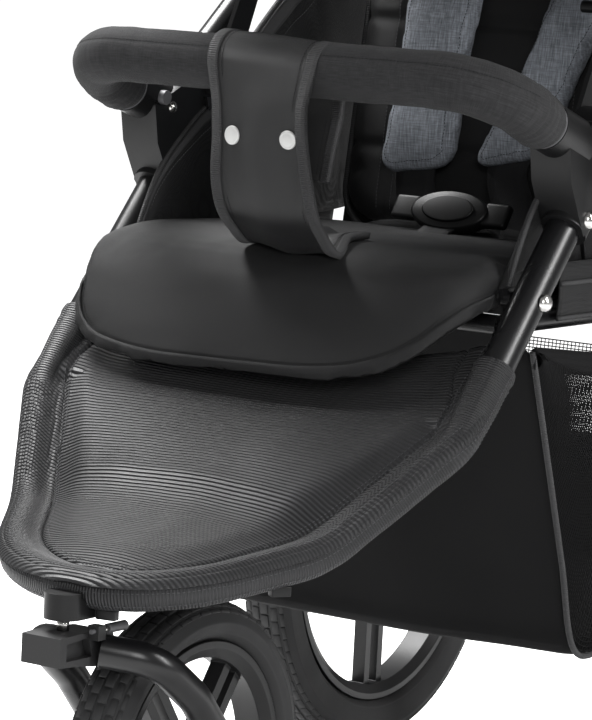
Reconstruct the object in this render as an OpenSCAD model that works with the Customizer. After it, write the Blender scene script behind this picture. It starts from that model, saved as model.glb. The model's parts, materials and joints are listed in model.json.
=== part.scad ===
// Three-wheeled pushchair with a swivelling front wheel, a removable bumper bar,
// a folding frame, a reclining seat, a hood and a shopping basket.
// Build frame: Y runs from front to rear, and stations along Y are measured
// from the axis of the two fold hubs. Z is height above the floor.

/* [Frame] */
// Height of the fold hub axis above the floor
hub_z = 635; // [600:1:680]
// Distance between the two main tubes, centre to centre
tube_track = 396; // [380:1:410]
// Outer diameter of the main tubes
tube_d = 28; // [24:1:30]
// Wall of the frame tubes
tube_wall = 1.8; // [1.2:0.1:3]
// Slope of the main tubes, as rise over run
tube_slope = 1.13; // [1:0.01:1.25]
// Station where the main tubes turn into the front loop
loop_start = 196; // [190:1:204]
// Station of the front of the loop tube
loop_front = 399; // [385:1:410]
// Half width of the loop's straight sides where they meet its front
loop_corner = 71; // [64:1:76]
// Half width of the loop where it levels out
loop_knee_x = 138; // [130:1:146]
// Station of the place where the loop levels out
loop_knee_y = 284; // [276:1:292]
// Drop of the loop from its start to its front
loop_drop = 112; // [104:1:120]
// Diameter of the loop tube
loop_d = 20; // [16:1:22]
// Bend radius of the loop's nose
nose_r = 120; // [90:1:125]
// Outer width of each hub casting
hub_w = 36; // [34:1:38]
// Radius of the hub castings
hub_r = 33; // [28:1:36]
// Radius of the hub pivot bolts
pivot_r = 6; // [4:0.5:8]

/* [Push bar] */
// Rise of the push bar above level
push_angle = 39.4; // [34:0.2:44]
// Distance from the fold hub to the handle joint
push_len = 430; // [400:1:460]
// Distance from the handle joint to the grip
handle_len = 145; // [120:1:170]
// Distance between the two push tubes, centre to centre
push_track = 473; // [469:1:480]
// Outer diameter of push tubes, leg tubes and handle
arm_d = 25; // [20:1:26]
// Diameter of the foam grip
grip_d = 34; // [30:1:40]
// Thickness of each folding disc at the hub
disc_t = 10; // [8:0.5:12]
// Radius of the handle joint
joint_r = 24; // [20:1:28]

/* [Rear legs] */
// Station of the rear axle
rear_axle_y = 460; // [440:1:480]
// Distance between the two rear wheels, centre to centre
rear_track = 570; // [566:1:600]
// Diameter of the rear cross beam
beam_d = 30; // [24:1:34]
// Station of the rear cross beam
beam_y = 464; // [450:1:480]
// Height of the rear cross beam
beam_z = 276; // [266:1:290]
// Thickness of the suspension arms
arm_t = 14; // [10:0.5:16]
// Radius of the suspension pivot
arm_pin_r = 5; // [4:0.5:6]
// Travel of the brake pins
brake_travel = 8; // [6:0.5:9]

/* [Wheels] */
// Outer radius of the rear tyres
rear_wheel_r = 200; // [190:1:205]
// Outer radius of the front tyre
front_wheel_r = 138; // [130:1:142]
// Width of the tyres
tyre_w = 48; // [42:1:50]
// Height of the tyre section on the rear wheels
rear_tyre_h = 45; // [38:1:50]
// Height of the tyre section on the front wheel
front_tyre_h = 32; // [26:1:36]
// Number of spoke pairs in a wheel
spoke_pairs = 5; // [4:1:7]
// Thickness of a spoke
spoke_t = 9; // [6:0.5:12]
// Radius of the wheel axles
axle_r = 6; // [5:0.5:8]

/* [Front fork] */
// Station of the swivel axis in front of the hubs
swivel_y = 417; // [412:1:424]
// Trail of the front axle behind the swivel axis
trail = 162; // [155:1:170]
// Radius of the king pin
king_r = 4; // [3.5:0.5:5]
// Width of the fork crown
crown_w = 36; // [30:1:42]
// Diameter of the fork legs
fork_d = 26; // [22:1:28]
// Distance between the fork legs at the axle
fork_track = 110; // [100:1:124]

/* [Bumper bar] */
// Station of the front of the bumper bar
bumper_y = 172; // [160:1:185]
// Height of the front of the bumper bar
bumper_z = 688; // [680:1:700]
// Diameter of the fabric cover on the bumper bar
bumper_d = 43; // [38:1:44]
// Bend radius of the bumper bar
bumper_bend = 95; // [80:1:110]
// Width of the strap between bumper and seat
strap_w = 90; // [70:1:100]

/* [Seat] */
// Height of the seat rails
rail_z = 498; // [490:1:504]
// Distance between the seat rails
rail_track = 344; // [336:1:348]
// Diameter of the seat rails
rail_d = 16; // [12:1:18]
// Station of the rear end of the seat rails
rail_rear = 262; // [250:1:275]
// Thickness of the seat board
board_t = 8; // [6:0.5:12]
// Thickness of the seat pad
pad_t = 28; // [20:1:32]
// Width of the seat pad
pad_w = 348; // [330:1:350]
// Station of the recline hinge
recline_y = 162; // [155:1:172]
// Length of the backrest above its hinge
back_len = 395; // [360:1:400]
// Lean of the backrest behind upright
back_lean = 8; // [6:0.5:12]
// Width of the backrest
back_w = 296; // [280:1:298]
// Thickness of the backrest pad
back_pad_t = 26; // [20:1:30]

/* [Hood] */
// Station of the hood's pivot
hood_y = 45; // [35:1:55]
// Height of the hood's pivot
hood_z = 745; // [738:1:752]
// Radius of the rear hood panel
hood_r = 262; // [256:1:266]
// Outer width of the rear hood panel
hood_w = 310; // [304:1:312]
// Step between one hood panel and the next
hood_step = 9; // [8:0.5:10]

/* [Basket and footrest] */
// Height of the basket floor
basket_z = 228; // [222:1:240]
// Width of the basket
basket_w = 404; // [380:1:410]
// Thickness of the basket fabric
basket_t = 3; // [2.5:0.5:5]
// Thickness of the footrest panel
footrest_t = 5; // [4:0.5:8]
// Wall of the binding round the loop tube
binding_t = 2.5; // [2:0.1:4]

/* [Hidden] */

gap = 0.3;          // clearance between soft and hard pieces
run = 0.05;         // radial running clearance of a pivot
seat_gap = 0.1;     // radial clearance of a fixed tube in its socket
fine = 48;          // facets of a drawn circle

tube_x = tube_track / 2;
tube_r = tube_d / 2;
arm_r = arm_d / 2;
arm_x = push_track / 2;
hub = [0, 0, hub_z];
tube_dir = unit([0, -1, -tube_slope]);
loop_z = hub_z - tube_slope * loop_start;
loop_r = loop_d / 2;
sleeve_r = loop_r + gap + binding_t;

front_axle_y = trail - swivel_y;
rear_axle = [0, rear_axle_y, rear_wheel_r];
crown_front = swivel_y + 26;
origin_y = (rear_axle_y + rear_wheel_r - crown_front) / 2;

// ---- vectors and paths --------------------------------------------------------------
function unit(v) = v / norm(v);
function mirrored(path) = [for (i = [len(path) - 1 : -1 : 0]) [-path[i].x, path[i].y, path[i].z]];
function both_sides(path) = concat(path, mirrored(path));
// Arc of the given radius that rounds the corner b between a and c.
function corner(a, b, c, radius, steps) =
    let (u = unit(a - b), w = unit(c - b), half = acos(u * w) / 2, turn = 180 - 2 * half,
         start = b + u * radius / tan(half), end = b + w * radius / tan(half),
         centre = b + unit(u + w) * radius / sin(half))
    [for (i = [0 : steps]) let (t = i / steps)
        centre + (sin((1 - t) * turn) * (start - centre) + sin(t * turn) * (end - centre)) / sin(turn)];
function bent(points, radii, steps = 6) = concat([points[0]],
    [for (i = [1 : len(points) - 2])
        each corner(points[i - 1], points[i], points[i + 1], radii[i - 1], steps)],
    [points[len(points) - 1]]);
function heading(path, i) = i == 0 ? unit(path[1] - path[0])
    : i == len(path) - 1 ? unit(path[i] - path[i - 1])
    : unit(unit(path[i] - path[i - 1]) + unit(path[i + 1] - path[i]));
// Rings of points round a path; across is a direction that no part of the path runs along.
function rings(path, across, half_w, half_h, sides) = [for (i = [0 : len(path) - 1])
    let (t = heading(path, i), side = unit(cross(across, t)), up = cross(t, side))
    [for (k = [0 : sides - 1]) let (a = 360 * k / sides)
        path[i] + half_w * cos(a) * side + half_h * sin(a) * up]];
// Faces between two neighbouring rings of n points whose first points are a and b.
function band(a, b, n) = [for (k = [0 : n - 1]) let (m = (k + 1) % n)
    each [[a + k, b + k, b + m], [a + k, b + m, a + m]]];

module loft(sections) {
    n = len(sections[0]);
    last = len(sections) - 1;
    polyhedron([for (s = sections) each s], concat(
        [[for (k = [0 : n - 1]) k]],
        [for (i = [0 : last - 1]) each band(i * n, (i + 1) * n, n)],
        [[for (k = [n - 1 : -1 : 0]) last * n + k]]));
}

// Bent bar with an oval or round section.
module bar(path, across, half_w, half_h, sides = 20) {
    loft(rings(path, across, half_w, half_h, sides));
}

// Bent tube with open ends.
module pipe(path, across, r, wall, sides = 20) {
    n = sides;
    last = len(path) - 1;
    outer = [for (s = rings(path, across, r, r, n)) each s];
    inner = [for (s = rings(path, across, r - wall, r - wall, n)) each s];
    o = len(outer);
    polyhedron(concat(outer, inner), concat(
        [for (i = [0 : last - 1]) each band(i * n, (i + 1) * n, n)],
        [for (i = [0 : last - 1]) each band(o + (i + 1) * n, o + i * n, n)],
        [for (k = [0 : n - 1]) let (m = (k + 1) % n)
            each [[k, m, o + m], [k, o + m, o + k]]],
        [for (k = [0 : n - 1]) let (m = (k + 1) % n, e = last * n)
            each [[e + m, e + k, o + e + k], [e + m, o + e + k, o + e + m]]]));
}

// Closed skin between an outer and an inner grid of points with the same numbers of rows.
module skin(outer, inner) {
    rows = len(outer);
    n = len(outer[0]);
    o = rows * n;
    function quad(a, b, c, d) = [[a, b, c], [a, c, d]];
    polyhedron(concat([for (r = outer) each r], [for (r = inner) each r]), concat(
        [for (i = [0 : rows - 2], j = [0 : n - 2]) let (a = i * n + j)
            each quad(a, a + 1, a + n + 1, a + n)],
        [for (i = [0 : rows - 2], j = [0 : n - 2]) let (a = o + i * n + j)
            each quad(a, a + n, a + n + 1, a + 1)],
        [for (i = [0 : rows - 2]) let (a = i * n, b = a + n - 1) each concat(
            quad(a, a + n, o + a + n, o + a), quad(b + n, b, o + b, o + b + n))],
        [for (j = [0 : n - 2]) let (a = j, b = (rows - 1) * n + j) each concat(
            quad(a + 1, a, o + a, o + a + 1), quad(b, b + 1, o + b + 1, o + b))]));
}

// ---- exact bars and plates ----------------------------------------------------------
module along(v) {
    rotate([0, acos(v.z / norm(v)), atan2(v.y, v.x)]) children();
}
module rod(a, b, r) {
    translate(a) along(b - a) cylinder(r = r, h = norm(b - a), $fn = fine);
}
module tube(a, b, r, wall) {
    translate(a) along(b - a) difference() {
        cylinder(r = r, h = norm(b - a), $fn = fine);
        translate([0, 0, -1]) cylinder(r = r - wall, h = norm(b - a) + 2, $fn = fine);
    }
}
// Round plate or pin along X from x0 to x1, centred on p.
module disc(p, x0, x1, r) {
    translate([x0, p.y, p.z]) rotate([0, 90, 0]) cylinder(r = r, h = x1 - x0, $fn = fine);
}
function at_x(p, x) = [x, p.y, p.z];
// Plate along X from x0 to x1 with an outline given as [y, z] points.
module plate(x0, x1, outline) {
    translate([x0, 0, 0]) rotate([90, 0, 90]) linear_extrude(x1 - x0) polygon(outline);
}
// Outline of a straight bar between two [y, z] points.
function strip(a, b, half) = let (d = (b - a) / norm(b - a), s = [-d.y, d.x] * half)
    [a + s, a - s, b - s, b + s];
module sides() {
    children();
    mirror([1, 0, 0]) children();
}
module place() {
    translate([0, -origin_y, 0]) children();
}

// ---- main frame ---------------------------------------------------------------------
casting_in = tube_x - hub_w / 2;
casting_out = tube_x + hub_w / 2;
socket_len = 46;
tube_top = hub + [tube_x, 0, 0] + tube_dir * 22;
loop_bend = [tube_x, -loop_start, loop_z];
tube_end = loop_bend - tube_dir * 46;
module main_tubes() {
    // The lower end is drawn down to the bore that the front loop slips into.
    color("#18181a") place() sides() difference() {
        rod(tube_top, tube_end, tube_r);
        rod(tube_top - tube_dir, tube_end - tube_dir * 44, tube_r - tube_wall);
        rod(tube_top, tube_end + tube_dir, loop_r + 1.5 * seat_gap);
    }
}

nose_z = loop_z - loop_drop;
loop_nose = [loop_corner, -loop_front, nose_z];
spigot_top = tube_end - tube_dir * 40;
// The nose is rounded no further than the loop's front can hold.
loop_half = bent([spigot_top, loop_bend, [loop_knee_x, -loop_knee_y, nose_z + 29], loop_nose,
    [0, -loop_front, nose_z]], [50, 90, min(nose_r, 1.65 * loop_corner)], 6);
module front_loop() {
    path = both_sides([for (i = [0 : len(loop_half) - 2]) loop_half[i]]);
    color("#18181a") place() pipe(path, [0, -0.4, 1], loop_r, tube_wall, 20);
}

bolt_s = 154;       // distance of the seat bolts from the hub, along the main tubes
clamp_s = 71;       // distance of the bracket screws from the hub, along the main tubes
function on_tube(s) = hub + [tube_x, 0, 0] + tube_dir * s;

arm_dir = unit([0, -0.95, 0.31]);
arm_root = [tube_x + 2, -52, hub_z + 7];
spigot_r = 15;
socket_wall = 5;
button_r = 6;
button_at = arm_root + arm_dir * 24;
module socket_outline() {
    rod(arm_root - arm_dir * 4, arm_root + arm_dir * socket_len, spigot_r + socket_wall);
}
module hub_castings() {
    color("#2c2c2e") place() sides() difference() {
        union() {
            disc(hub, casting_in, casting_out, hub_r);
            intersection() {
                union() {
                    rod(on_tube(0), on_tube(clamp_s + 12), tube_r + 5);
                    plate(casting_in, casting_out, [[0, hub_z + 22], [-46, hub_z + 24],
                        [-84, hub_z + 8], [-78, hub_z - 24], [-54, hub_z - 66], [0, hub_z - 30]]);
                }
                translate([casting_in, -200, hub_z - 200]) cube([hub_w, 260, 400]);
            }
            socket_outline();
        }
        rod(tube_top - tube_dir, on_tube(clamp_s + 40), tube_r + seat_gap);
        rod(arm_root - arm_dir, arm_root + arm_dir * (socket_len + 1), spigot_r + run);
        disc(hub, casting_in - 1, casting_out + 1, pivot_r + seat_gap);
        disc(button_at, casting_in - 20, tube_x - 8, button_r + run);
    }
}

leg_disc_x = casting_out + gap + 0.2;
push_disc_x = leg_disc_x + disc_t + 0.5;
disc_end = push_disc_x + disc_t;
module dome(r, h) {
    rotate_extrude($fn = fine) polygon(concat([[0, 0]],
        [for (a = [0 : 15 : 90]) [r * cos(a), h * sin(a)]]));
}
module frame_bolts() {
    color("#c9c9c6") place() sides() {
        disc(hub, casting_in - 4.5, disc_end + 1, pivot_r);
        disc(hub, disc_end + 0.5, disc_end + 3, 13);
        translate([disc_end + 3, 0, hub_z]) rotate([0, 90, 0]) dome(13, 5);
        translate(at_x(on_tube(bolt_s), tube_x + tube_r + 0.2)) rotate([0, 90, 0]) dome(7.5, 6);
        translate(at_x(on_tube(clamp_s), casting_out + 0.2)) rotate([0, 90, 0]) dome(7.5, 6);
        translate([casting_in - 0.2, -60, hub_z + 6]) rotate([0, -90, 0]) dome(5, 3.5);
    }
}

// ---- steering head ------------------------------------------------------------------
swivel = [0, -swivel_y, 0];
crown_top = nose_z - 29;
head_low = nose_z - sleeve_r - 7;
head_r = 15;
module steering_head() {
    color("#262628") place() difference() {
        union() {
            translate([0, -swivel_y, head_low]) cylinder(r = head_r, h = nose_z - head_low, $fn = fine);
            translate([-head_r, -swivel_y, head_low])
                cube([2 * head_r, swivel_y - loop_front + 24, nose_z - head_low - 4]);
        }
        translate([0, -swivel_y, head_low - 1])
            cylinder(r = king_r + run, h = nose_z - head_low - 1, $fn = fine);
        // The sleeve bends away inside the block, so its hollow is a little wider.
        rod([-head_r - 1, -loop_front, nose_z], [head_r + 1, -loop_front, nose_z], sleeve_r + 3 * gap);
    }
}

// ---- seat frame ---------------------------------------------------------------------
rail_x = rail_track / 2;
rail_r = rail_d / 2;
rail_front = 100;
hanger_t = 4;
hanger_x = casting_in - gap - hanger_t;
recline = [0, recline_y, rail_z + 22];
module seat_frame() {
    color("#1d1d1f") place() difference() {
        union() {
            sides() {
                rod([rail_x, -rail_front, rail_z], [rail_x, rail_rear, rail_z], rail_r);
                plate(hanger_x, hanger_x + hanger_t, [[-16, hub_z + 14], [16, hub_z + 14],
                    [62, rail_z], [30, rail_z]]);
                plate(hanger_x, hanger_x + hanger_t, [[on_tube(bolt_s).y - 10, on_tube(bolt_s).z + 8],
                    [on_tube(bolt_s).y + 12, on_tube(bolt_s).z + 8], [on_tube(bolt_s).y + 22, rail_z],
                    [on_tube(bolt_s).y + 6, rail_z]]);
                plate(rail_x - 3, rail_x + 3, [[recline_y - 16, rail_z], [recline_y + 16, rail_z],
                    [recline_y + 10, recline.z + 9], [recline_y - 10, recline.z + 9]]);
                disc(on_tube(bolt_s), hanger_x, tube_x - tube_r - seat_gap, 6);
                disc(recline, back_w / 2 - 8, rail_x + 2, 5);
            }
            for (y = [-rail_front, rail_rear])
                rod([-rail_x, y, rail_z], [rail_x, y, rail_z], rail_r);
        }
        sides() disc(hub, hanger_x - 1, hanger_x + hanger_t + 1, pivot_r + seat_gap);
    }
}

// ---- soft seat ----------------------------------------------------------------------
board_z = rail_z + rail_r + gap;
board_rear = recline_y - 24;
module seat_board() {
    color("#202022") place() translate([-pad_w / 2, -rail_front, board_z])
        cube([pad_w, rail_front + board_rear, board_t]);
}

pad_x = pad_w / 2;
pad_z = board_z + board_t + gap;
pad_rear = recline_y - back_pad_t - 9;
lip_y = 189;
lip_z = 446;
flap_t = 14;
// Section of the pad at the share s of its half width, as [y, z] of its top and underside.
pad_level = pad_z + pad_t;
function pad_front(s) = -158 + 22 * s * s;
function pad_lip(s) = [pad_front(s) - (lip_y - 158), pad_level - (pad_level - lip_z) * (1 - 0.42 * s * s)];
function pad_top(s) = let (f = pad_front(s), lip = pad_lip(s)) [
    [pad_rear, pad_level - 6], [60, pad_level - 2], [-40, pad_level], [f + 45, pad_level + 1],
    [f + 12, pad_level - 3], [f - 7, pad_level - 18], [lip.x + 12, 0.45 * pad_level + 0.55 * lip.y], lip];
function pad_under(s) = let (f = pad_front(s), lip = pad_lip(s)) [
    [pad_rear, pad_z], [60, pad_z], [-40, pad_z], [f + 50, pad_z], [f + 30, pad_z],
    [f + 16, pad_z - 6], [lip.x + 12 + flap_t, 0.45 * pad_level + 0.55 * lip.y - 4],
    [lip.x + flap_t, lip.y]];
function pad_rows(section) = [for (k = [6 : -1 : -6]) let (s = k / 6)
    [for (p = section(s)) [pad_x * s, p.x, p.y]]];
module seat_pad() {
    color("#1c1c1e") place()
        skin(pad_rows(function (s) pad_top(s)), pad_rows(function (s) pad_under(s)));
}

wing_t = 5;
wing_x = hanger_x - gap - wing_t;
module seat_wings() {
    // Fabric walls between the seat and the frame on each side.
    color("#17171a") place() sides() plate(wing_x, wing_x + wing_t,
        [[-96, pad_level + 6], [recline_y + 43, pad_level + 6], [recline_y + 88, hub_z + 225],
         [60, hub_z + 71], [10, hub_z + 20], [-70, hub_z - 40]]);
}

// ---- footrest -----------------------------------------------------------------------
panel_rear = 128;
side_run = (loop_start - panel_rear - 24) / 4;
rim_path = concat([for (i = [0 : 4]) [tube_x, -panel_rear - i * side_run,
        hub_z - tube_slope * (panel_rear + i * side_run)]],
    [for (i = [1 : len(loop_half) - 2]) loop_half[i]]);
// Point of the panel's rim: the loop's own line, moved in by the tube or the sleeve.
function rim_at(i) = let (t = heading(rim_path, i))
    rim_path[i] - unit([-t.y, t.x, 0]) * (i < 5 ? tube_r + gap + 1 : sleeve_r + gap);
crown_y = 264;      // station where the panel is fullest
// Height of the panel's edge and of its middle over the tube's own line, at station y.
function edge_lift(y) = -12 + 18 * min(1, (-panel_rear - y) / (loop_start - panel_rear));
function middle_lift(y) = y > -crown_y ? -23 + 39 * (-panel_rear - y) / (crown_y - panel_rear)
    : 16 - 17 * (-crown_y - y) / (loop_front - crown_y);
function panel_row(i, lift) = let (p = rim_at(i), w = max(p.x, 12)) [for (k = [-4 : 4]) let (s = k / 4)
    [w * s, p.y, p.z + lift + edge_lift(p.y) + middle_lift(p.y) * (1 - s * s)]];
module footrest_panel() {
    n = len(rim_path) - 1;
    color("#3a3a3c") place() skin([for (i = [0 : n]) panel_row(i, footrest_t)],
        [for (i = [0 : n]) panel_row(i, 0)]);
}
module footrest_binding() {
    path = both_sides([for (i = [2 : len(loop_half) - 2]) loop_half[i]]);
    color("#4a4a4c") place() pipe(path, [0, -0.4, 1], sleeve_r, binding_t, 20);
}

// ---- basket -------------------------------------------------------------------------
basket_x = basket_w / 2;
basket_front = -98;
basket_rear = 345;
basket_side = [[basket_front, rail_z - rail_r - 8], [0, basket_z], [basket_rear, basket_z + 12],
    [basket_rear + 27, basket_z + 202]];
module basket() {
    t = basket_t;
    inside = [basket_side[0] + [1.4 * t, 60], basket_side[0] + [1.4 * t, 0],
        basket_side[1] + [t, t], basket_side[2] + [-t, t], basket_side[3] + [-t, 0],
        basket_side[3] + [-t, 60]];
    color("#1a1a1b") place() {
        difference() {
            plate(-basket_x, basket_x, basket_side);
            plate(-basket_x + t, basket_x - t, inside);
        }
        sides() {
            plate(tube_x - tube_r, basket_x, [basket_side[0], basket_side[0] + [8, -2],
                basket_side[0] + [1, 21], basket_side[0] + [-5, 14.5]]);
            plate(rail_x - 20, rail_x - 2, strip(basket_side[3] + [-2, -3],
                [rail_rear + 6, rail_z - rail_r - 2], 1.5));
        }
    }
}

// ---- harness ------------------------------------------------------------------------
buckle_y = 84;
buckle_z = 572;
module crotch_strap() {
    color("#141415") place() plate(-15, 15, strip([buckle_y - 26, pad_level - 0.2],
        [buckle_y - 9, buckle_z - 15.6], 1.2));
}
module harness_buckle() {
    color("#1f1f20") place() translate([0, buckle_y, buckle_z]) rotate([-30, 0, 0]) hull() {
        for (x = [-22, 22]) translate([x, 0, 0]) rotate([90, 0, 0])
            cylinder(r = 14, h = 9, center = true, $fn = 32);
        rotate([90, 0, 0]) cylinder(r = 17, h = 14, center = true, $fn = 32);
    }
}

// ---- hood ---------------------------------------------------------------------------
hood = [0, hood_y, hood_z];
hood_pin_r = 5;
panel_t = 2.5;
hood_corner = 60;
function arch(r, w, c, start) = concat([[start, -w]],
    [for (a = [-90 : 15 : 0]) [r - c + c * cos(a), -w + c + c * sin(a)]],
    [for (a = [0 : 15 : 90]) [r - c + c * cos(a), w - c + c * sin(a)]], [[start, w]]);
function arch_wall(r, w, c, t, start) = let (inner = arch(r - t, w - t, c - t, start))
    concat(arch(r, w, c, start), [for (i = [len(inner) - 1 : -1 : 0]) inner[i]]);
module hood_panel(k, from, to) {
    r = hood_r + k * hood_step;
    w = hood_w / 2 + k * hood_step;
    bow = 1.5;
    translate(hood) difference() {
        rotate([90, 0, 90]) {
            rotate(from) rotate_extrude(angle = to - from, $fn = 72)
                polygon(arch_wall(r, w, hood_corner, panel_t, 12));
            rotate(to - 3) rotate_extrude(angle = 3.4, $fn = 72)
                polygon(arch_wall(r + bow, w + bow, hood_corner + bow, panel_t + 2 * bow, 10));
            for (z = [-w - 0.4, w - panel_t - 0.4]) translate([0, 0, z])
                cylinder(r = 14, h = panel_t + 0.8, $fn = fine);
        }
        rotate([90, 0, 90]) cylinder(r = hood_pin_r + run, h = 3 * w, center = true, $fn = fine);
    }
}
module hood_brackets() {
    color("#262628") place() sides() {
        plate(hanger_x, hanger_x + hanger_t, [[-14, hub_z + 16.5], [18, hub_z + 16.5],
            [hood_y + 13, hood_z], [hood_y - 13, hood_z]]);
        disc(hood, hanger_x, hanger_x + hanger_t, 14);
        disc(hood, hood_w / 2 - 8, hanger_x + 1, hood_pin_r);
    }
}
module hood_rear_panel() { color("#1b1b1d") place() hood_panel(0, 46, 84); }
module hood_middle_panel() { color("#1b1b1d") place() hood_panel(1, 81, 118); }
module hood_front_panel() { color("#1b1b1d") place() hood_panel(2, 115, 152); }

// ---- backrest -----------------------------------------------------------------------
// The backrest is drawn upright: Z along its length, -Y out of its front.
module leaning() {
    translate(recline) rotate([-back_lean, 0, 0]) children();
}
recline_pin_r = 5;
back_x = back_w / 2;
board_half = 4;
lever_z = back_len - 90;
lever_y = board_half + 12;
module backrest_board() {
    color("#202022") place() leaning() difference() {
        union() {
            translate([-back_x, -board_half, 6]) cube([back_w, 2 * board_half, back_len - 6]);
            sides() {
                disc([0, 0, 0], back_x - 24, back_x, 10);
                translate([back_x - 24, -board_half, 0]) cube([24, 2 * board_half, 8]);
                disc([0, lever_y, lever_z], 52, 58, 6);
                translate([52, board_half - 1, lever_z - 6]) cube([6, 13, 12]);
            }
        }
        sides() disc([0, 0, 0], back_x - 30, back_x + 1, recline_pin_r + run);
        disc([0, lever_y, lever_z], -60, 60, 2.5 + run);
    }
}
module recline_lever() {
    color("#2c2c2e") place() leaning() {
        disc([0, lever_y, lever_z], -60, 60, 2.5);
        disc([0, lever_y, lever_z], -51, 51, 5);
        translate([-40, lever_y - 3, lever_z - 62]) cube([80, 6, 62]);
    }
}
back_front = -board_half - gap - back_pad_t;
module rounded_block(w, t, h, c) {
    hull() for (x = [-1, 1], z = [0, 1]) translate([x * (w / 2 - c), 0, c + z * (h - 2 * c)])
        rotate([90, 0, 0]) cylinder(r = c, h = t, $fn = 32);
}
module backrest_pad() {
    color("#1c1c1e") place() leaning() translate([0, -board_half - gap, 14])
        rounded_block(back_w - 6, back_pad_t, back_len - 18, 40);
}
harness_x = 52;
webbing = 2;
pad_low = 72;
module harness_straps() {
    color("#141415") place() leaning() sides() {
        translate([harness_x - 19, back_front - gap - webbing, pad_low - 26])
            cube([38, webbing, 290]);
        translate([harness_x + 18, back_front - gap - webbing, pad_low - 34]) cube([66, webbing, 26]);
    }
}
module shoulder_pads() {
    color("#5e646c") place() leaning() sides()
        translate([harness_x, back_front - 2 * gap - webbing, pad_low]) rounded_block(70, 18, 150, 14);
}

// ---- push bar and handle ------------------------------------------------------------
push_dir = [0, cos(push_angle), sin(push_angle)];
joint = hub + push_dir * push_len;
arm_start = 44;
module folding_disc(x0, dir) {
    difference() {
        union() {
            disc(hub, x0, x0 + disc_t, hub_r);
            plate(x0, x0 + disc_t, strip([hub.y, hub.z], [hub.y, hub.z] + [dir.y, dir.z] * 60, 13));
            rod(at_x(hub + dir * (arm_start - 4), arm_x), at_x(hub + dir * (arm_start + 32), arm_x),
                arm_r + 3);
        }
        disc(hub, x0 - 1, x0 + disc_t + 1, pivot_r + run);
        rod(at_x(hub + dir * arm_start, arm_x), at_x(hub + dir * (arm_start + 40), arm_x),
            arm_r + seat_gap);
    }
}
push_end = push_len - joint_r - 6;
module push_tubes() {
    color("#18181a") place() sides() tube(at_x(hub + push_dir * arm_start, arm_x),
        at_x(hub + push_dir * push_end, arm_x), arm_r, tube_wall);
}
housing_in = arm_x - arm_r - 1;
housing_mid = arm_x - 0.25;
housing_out = arm_x + arm_r + 1;
joint_pin_r = 5;
module push_castings() {
    color("#2c2c2e") place() sides() {
        folding_disc(push_disc_x, push_dir);
        difference() {
            union() {
                disc(joint, housing_in, housing_mid, joint_r);
                rod(at_x(hub + push_dir * (push_end - 22), arm_x),
                    at_x(hub + push_dir * (push_end + 4), arm_x), arm_r + 3);
                plate(housing_in, housing_mid, strip([joint.y, joint.z],
                    [hub.y, hub.z] + [push_dir.y, push_dir.z] * (push_end - 8), 12));
            }
            rod(at_x(hub + push_dir * (push_end - 30), arm_x),
                at_x(hub + push_dir * (push_end + 0.5), arm_x), arm_r + seat_gap);
        }
        disc(joint, housing_mid - 2, housing_out - 8, joint_pin_r);
    }
}
module fold_slider() {
    color("#3a3a3c") place() difference() {
        rod(at_x(hub + push_dir * 232, arm_x), at_x(hub + push_dir * 288, arm_x), arm_r + 5);
        rod(at_x(hub + push_dir * 230, arm_x), at_x(hub + push_dir * 290, arm_x), arm_r + run);
    }
}
module left_fold_slider() { fold_slider(); }
module right_fold_slider() { mirror([1, 0, 0]) fold_slider(); }

height_button_r = 9;
module handle_joints() {
    color("#2c2c2e") place() sides() difference() {
        union() {
            disc(joint, housing_mid + 0.5, housing_out, joint_r);
            rod(at_x(joint + push_dir * (joint_r + 2), arm_x),
                at_x(joint + push_dir * (joint_r + 28), arm_x), arm_r + 3);
            plate(housing_mid + 0.5, housing_out, strip([joint.y, joint.z],
                [joint.y, joint.z] + [push_dir.y, push_dir.z] * (joint_r + 14), 12));
        }
        disc(joint, housing_mid, housing_out - 7.5, joint_pin_r + run);
        disc(joint, housing_out - 7.5, housing_out + 1, height_button_r + run);
        rod(at_x(joint + push_dir * (joint_r + 5.5), arm_x),
            at_x(joint + push_dir * (joint_r + 40), arm_x), arm_r + seat_gap);
    }
}
handle_corner = joint + push_dir * handle_len;
handle_half = bent([at_x(joint + push_dir * (joint_r + 6), arm_x), at_x(handle_corner, arm_x),
    at_x(handle_corner, 0)], [50], 6);
module handle_tube() {
    color("#18181a") place()
        pipe(both_sides([for (i = [0 : len(handle_half) - 2]) handle_half[i]]),
            [0, -push_dir.z, push_dir.y], arm_r, tube_wall, 20);
}
module handle_grip() {
    color("#2a2a2b") place()
        pipe(both_sides([for (i = [1 : len(handle_half) - 2]) handle_half[i]]),
            [0, -push_dir.z, push_dir.y], grip_d / 2, grip_d / 2 - arm_r - seat_gap, 20);
}
module height_button() {
    color("#55565a") place() disc(joint, housing_out - 3.5, housing_out + 2.5, height_button_r);
}
module left_height_button() { height_button(); }
module right_height_button() { mirror([1, 0, 0]) height_button(); }

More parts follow.
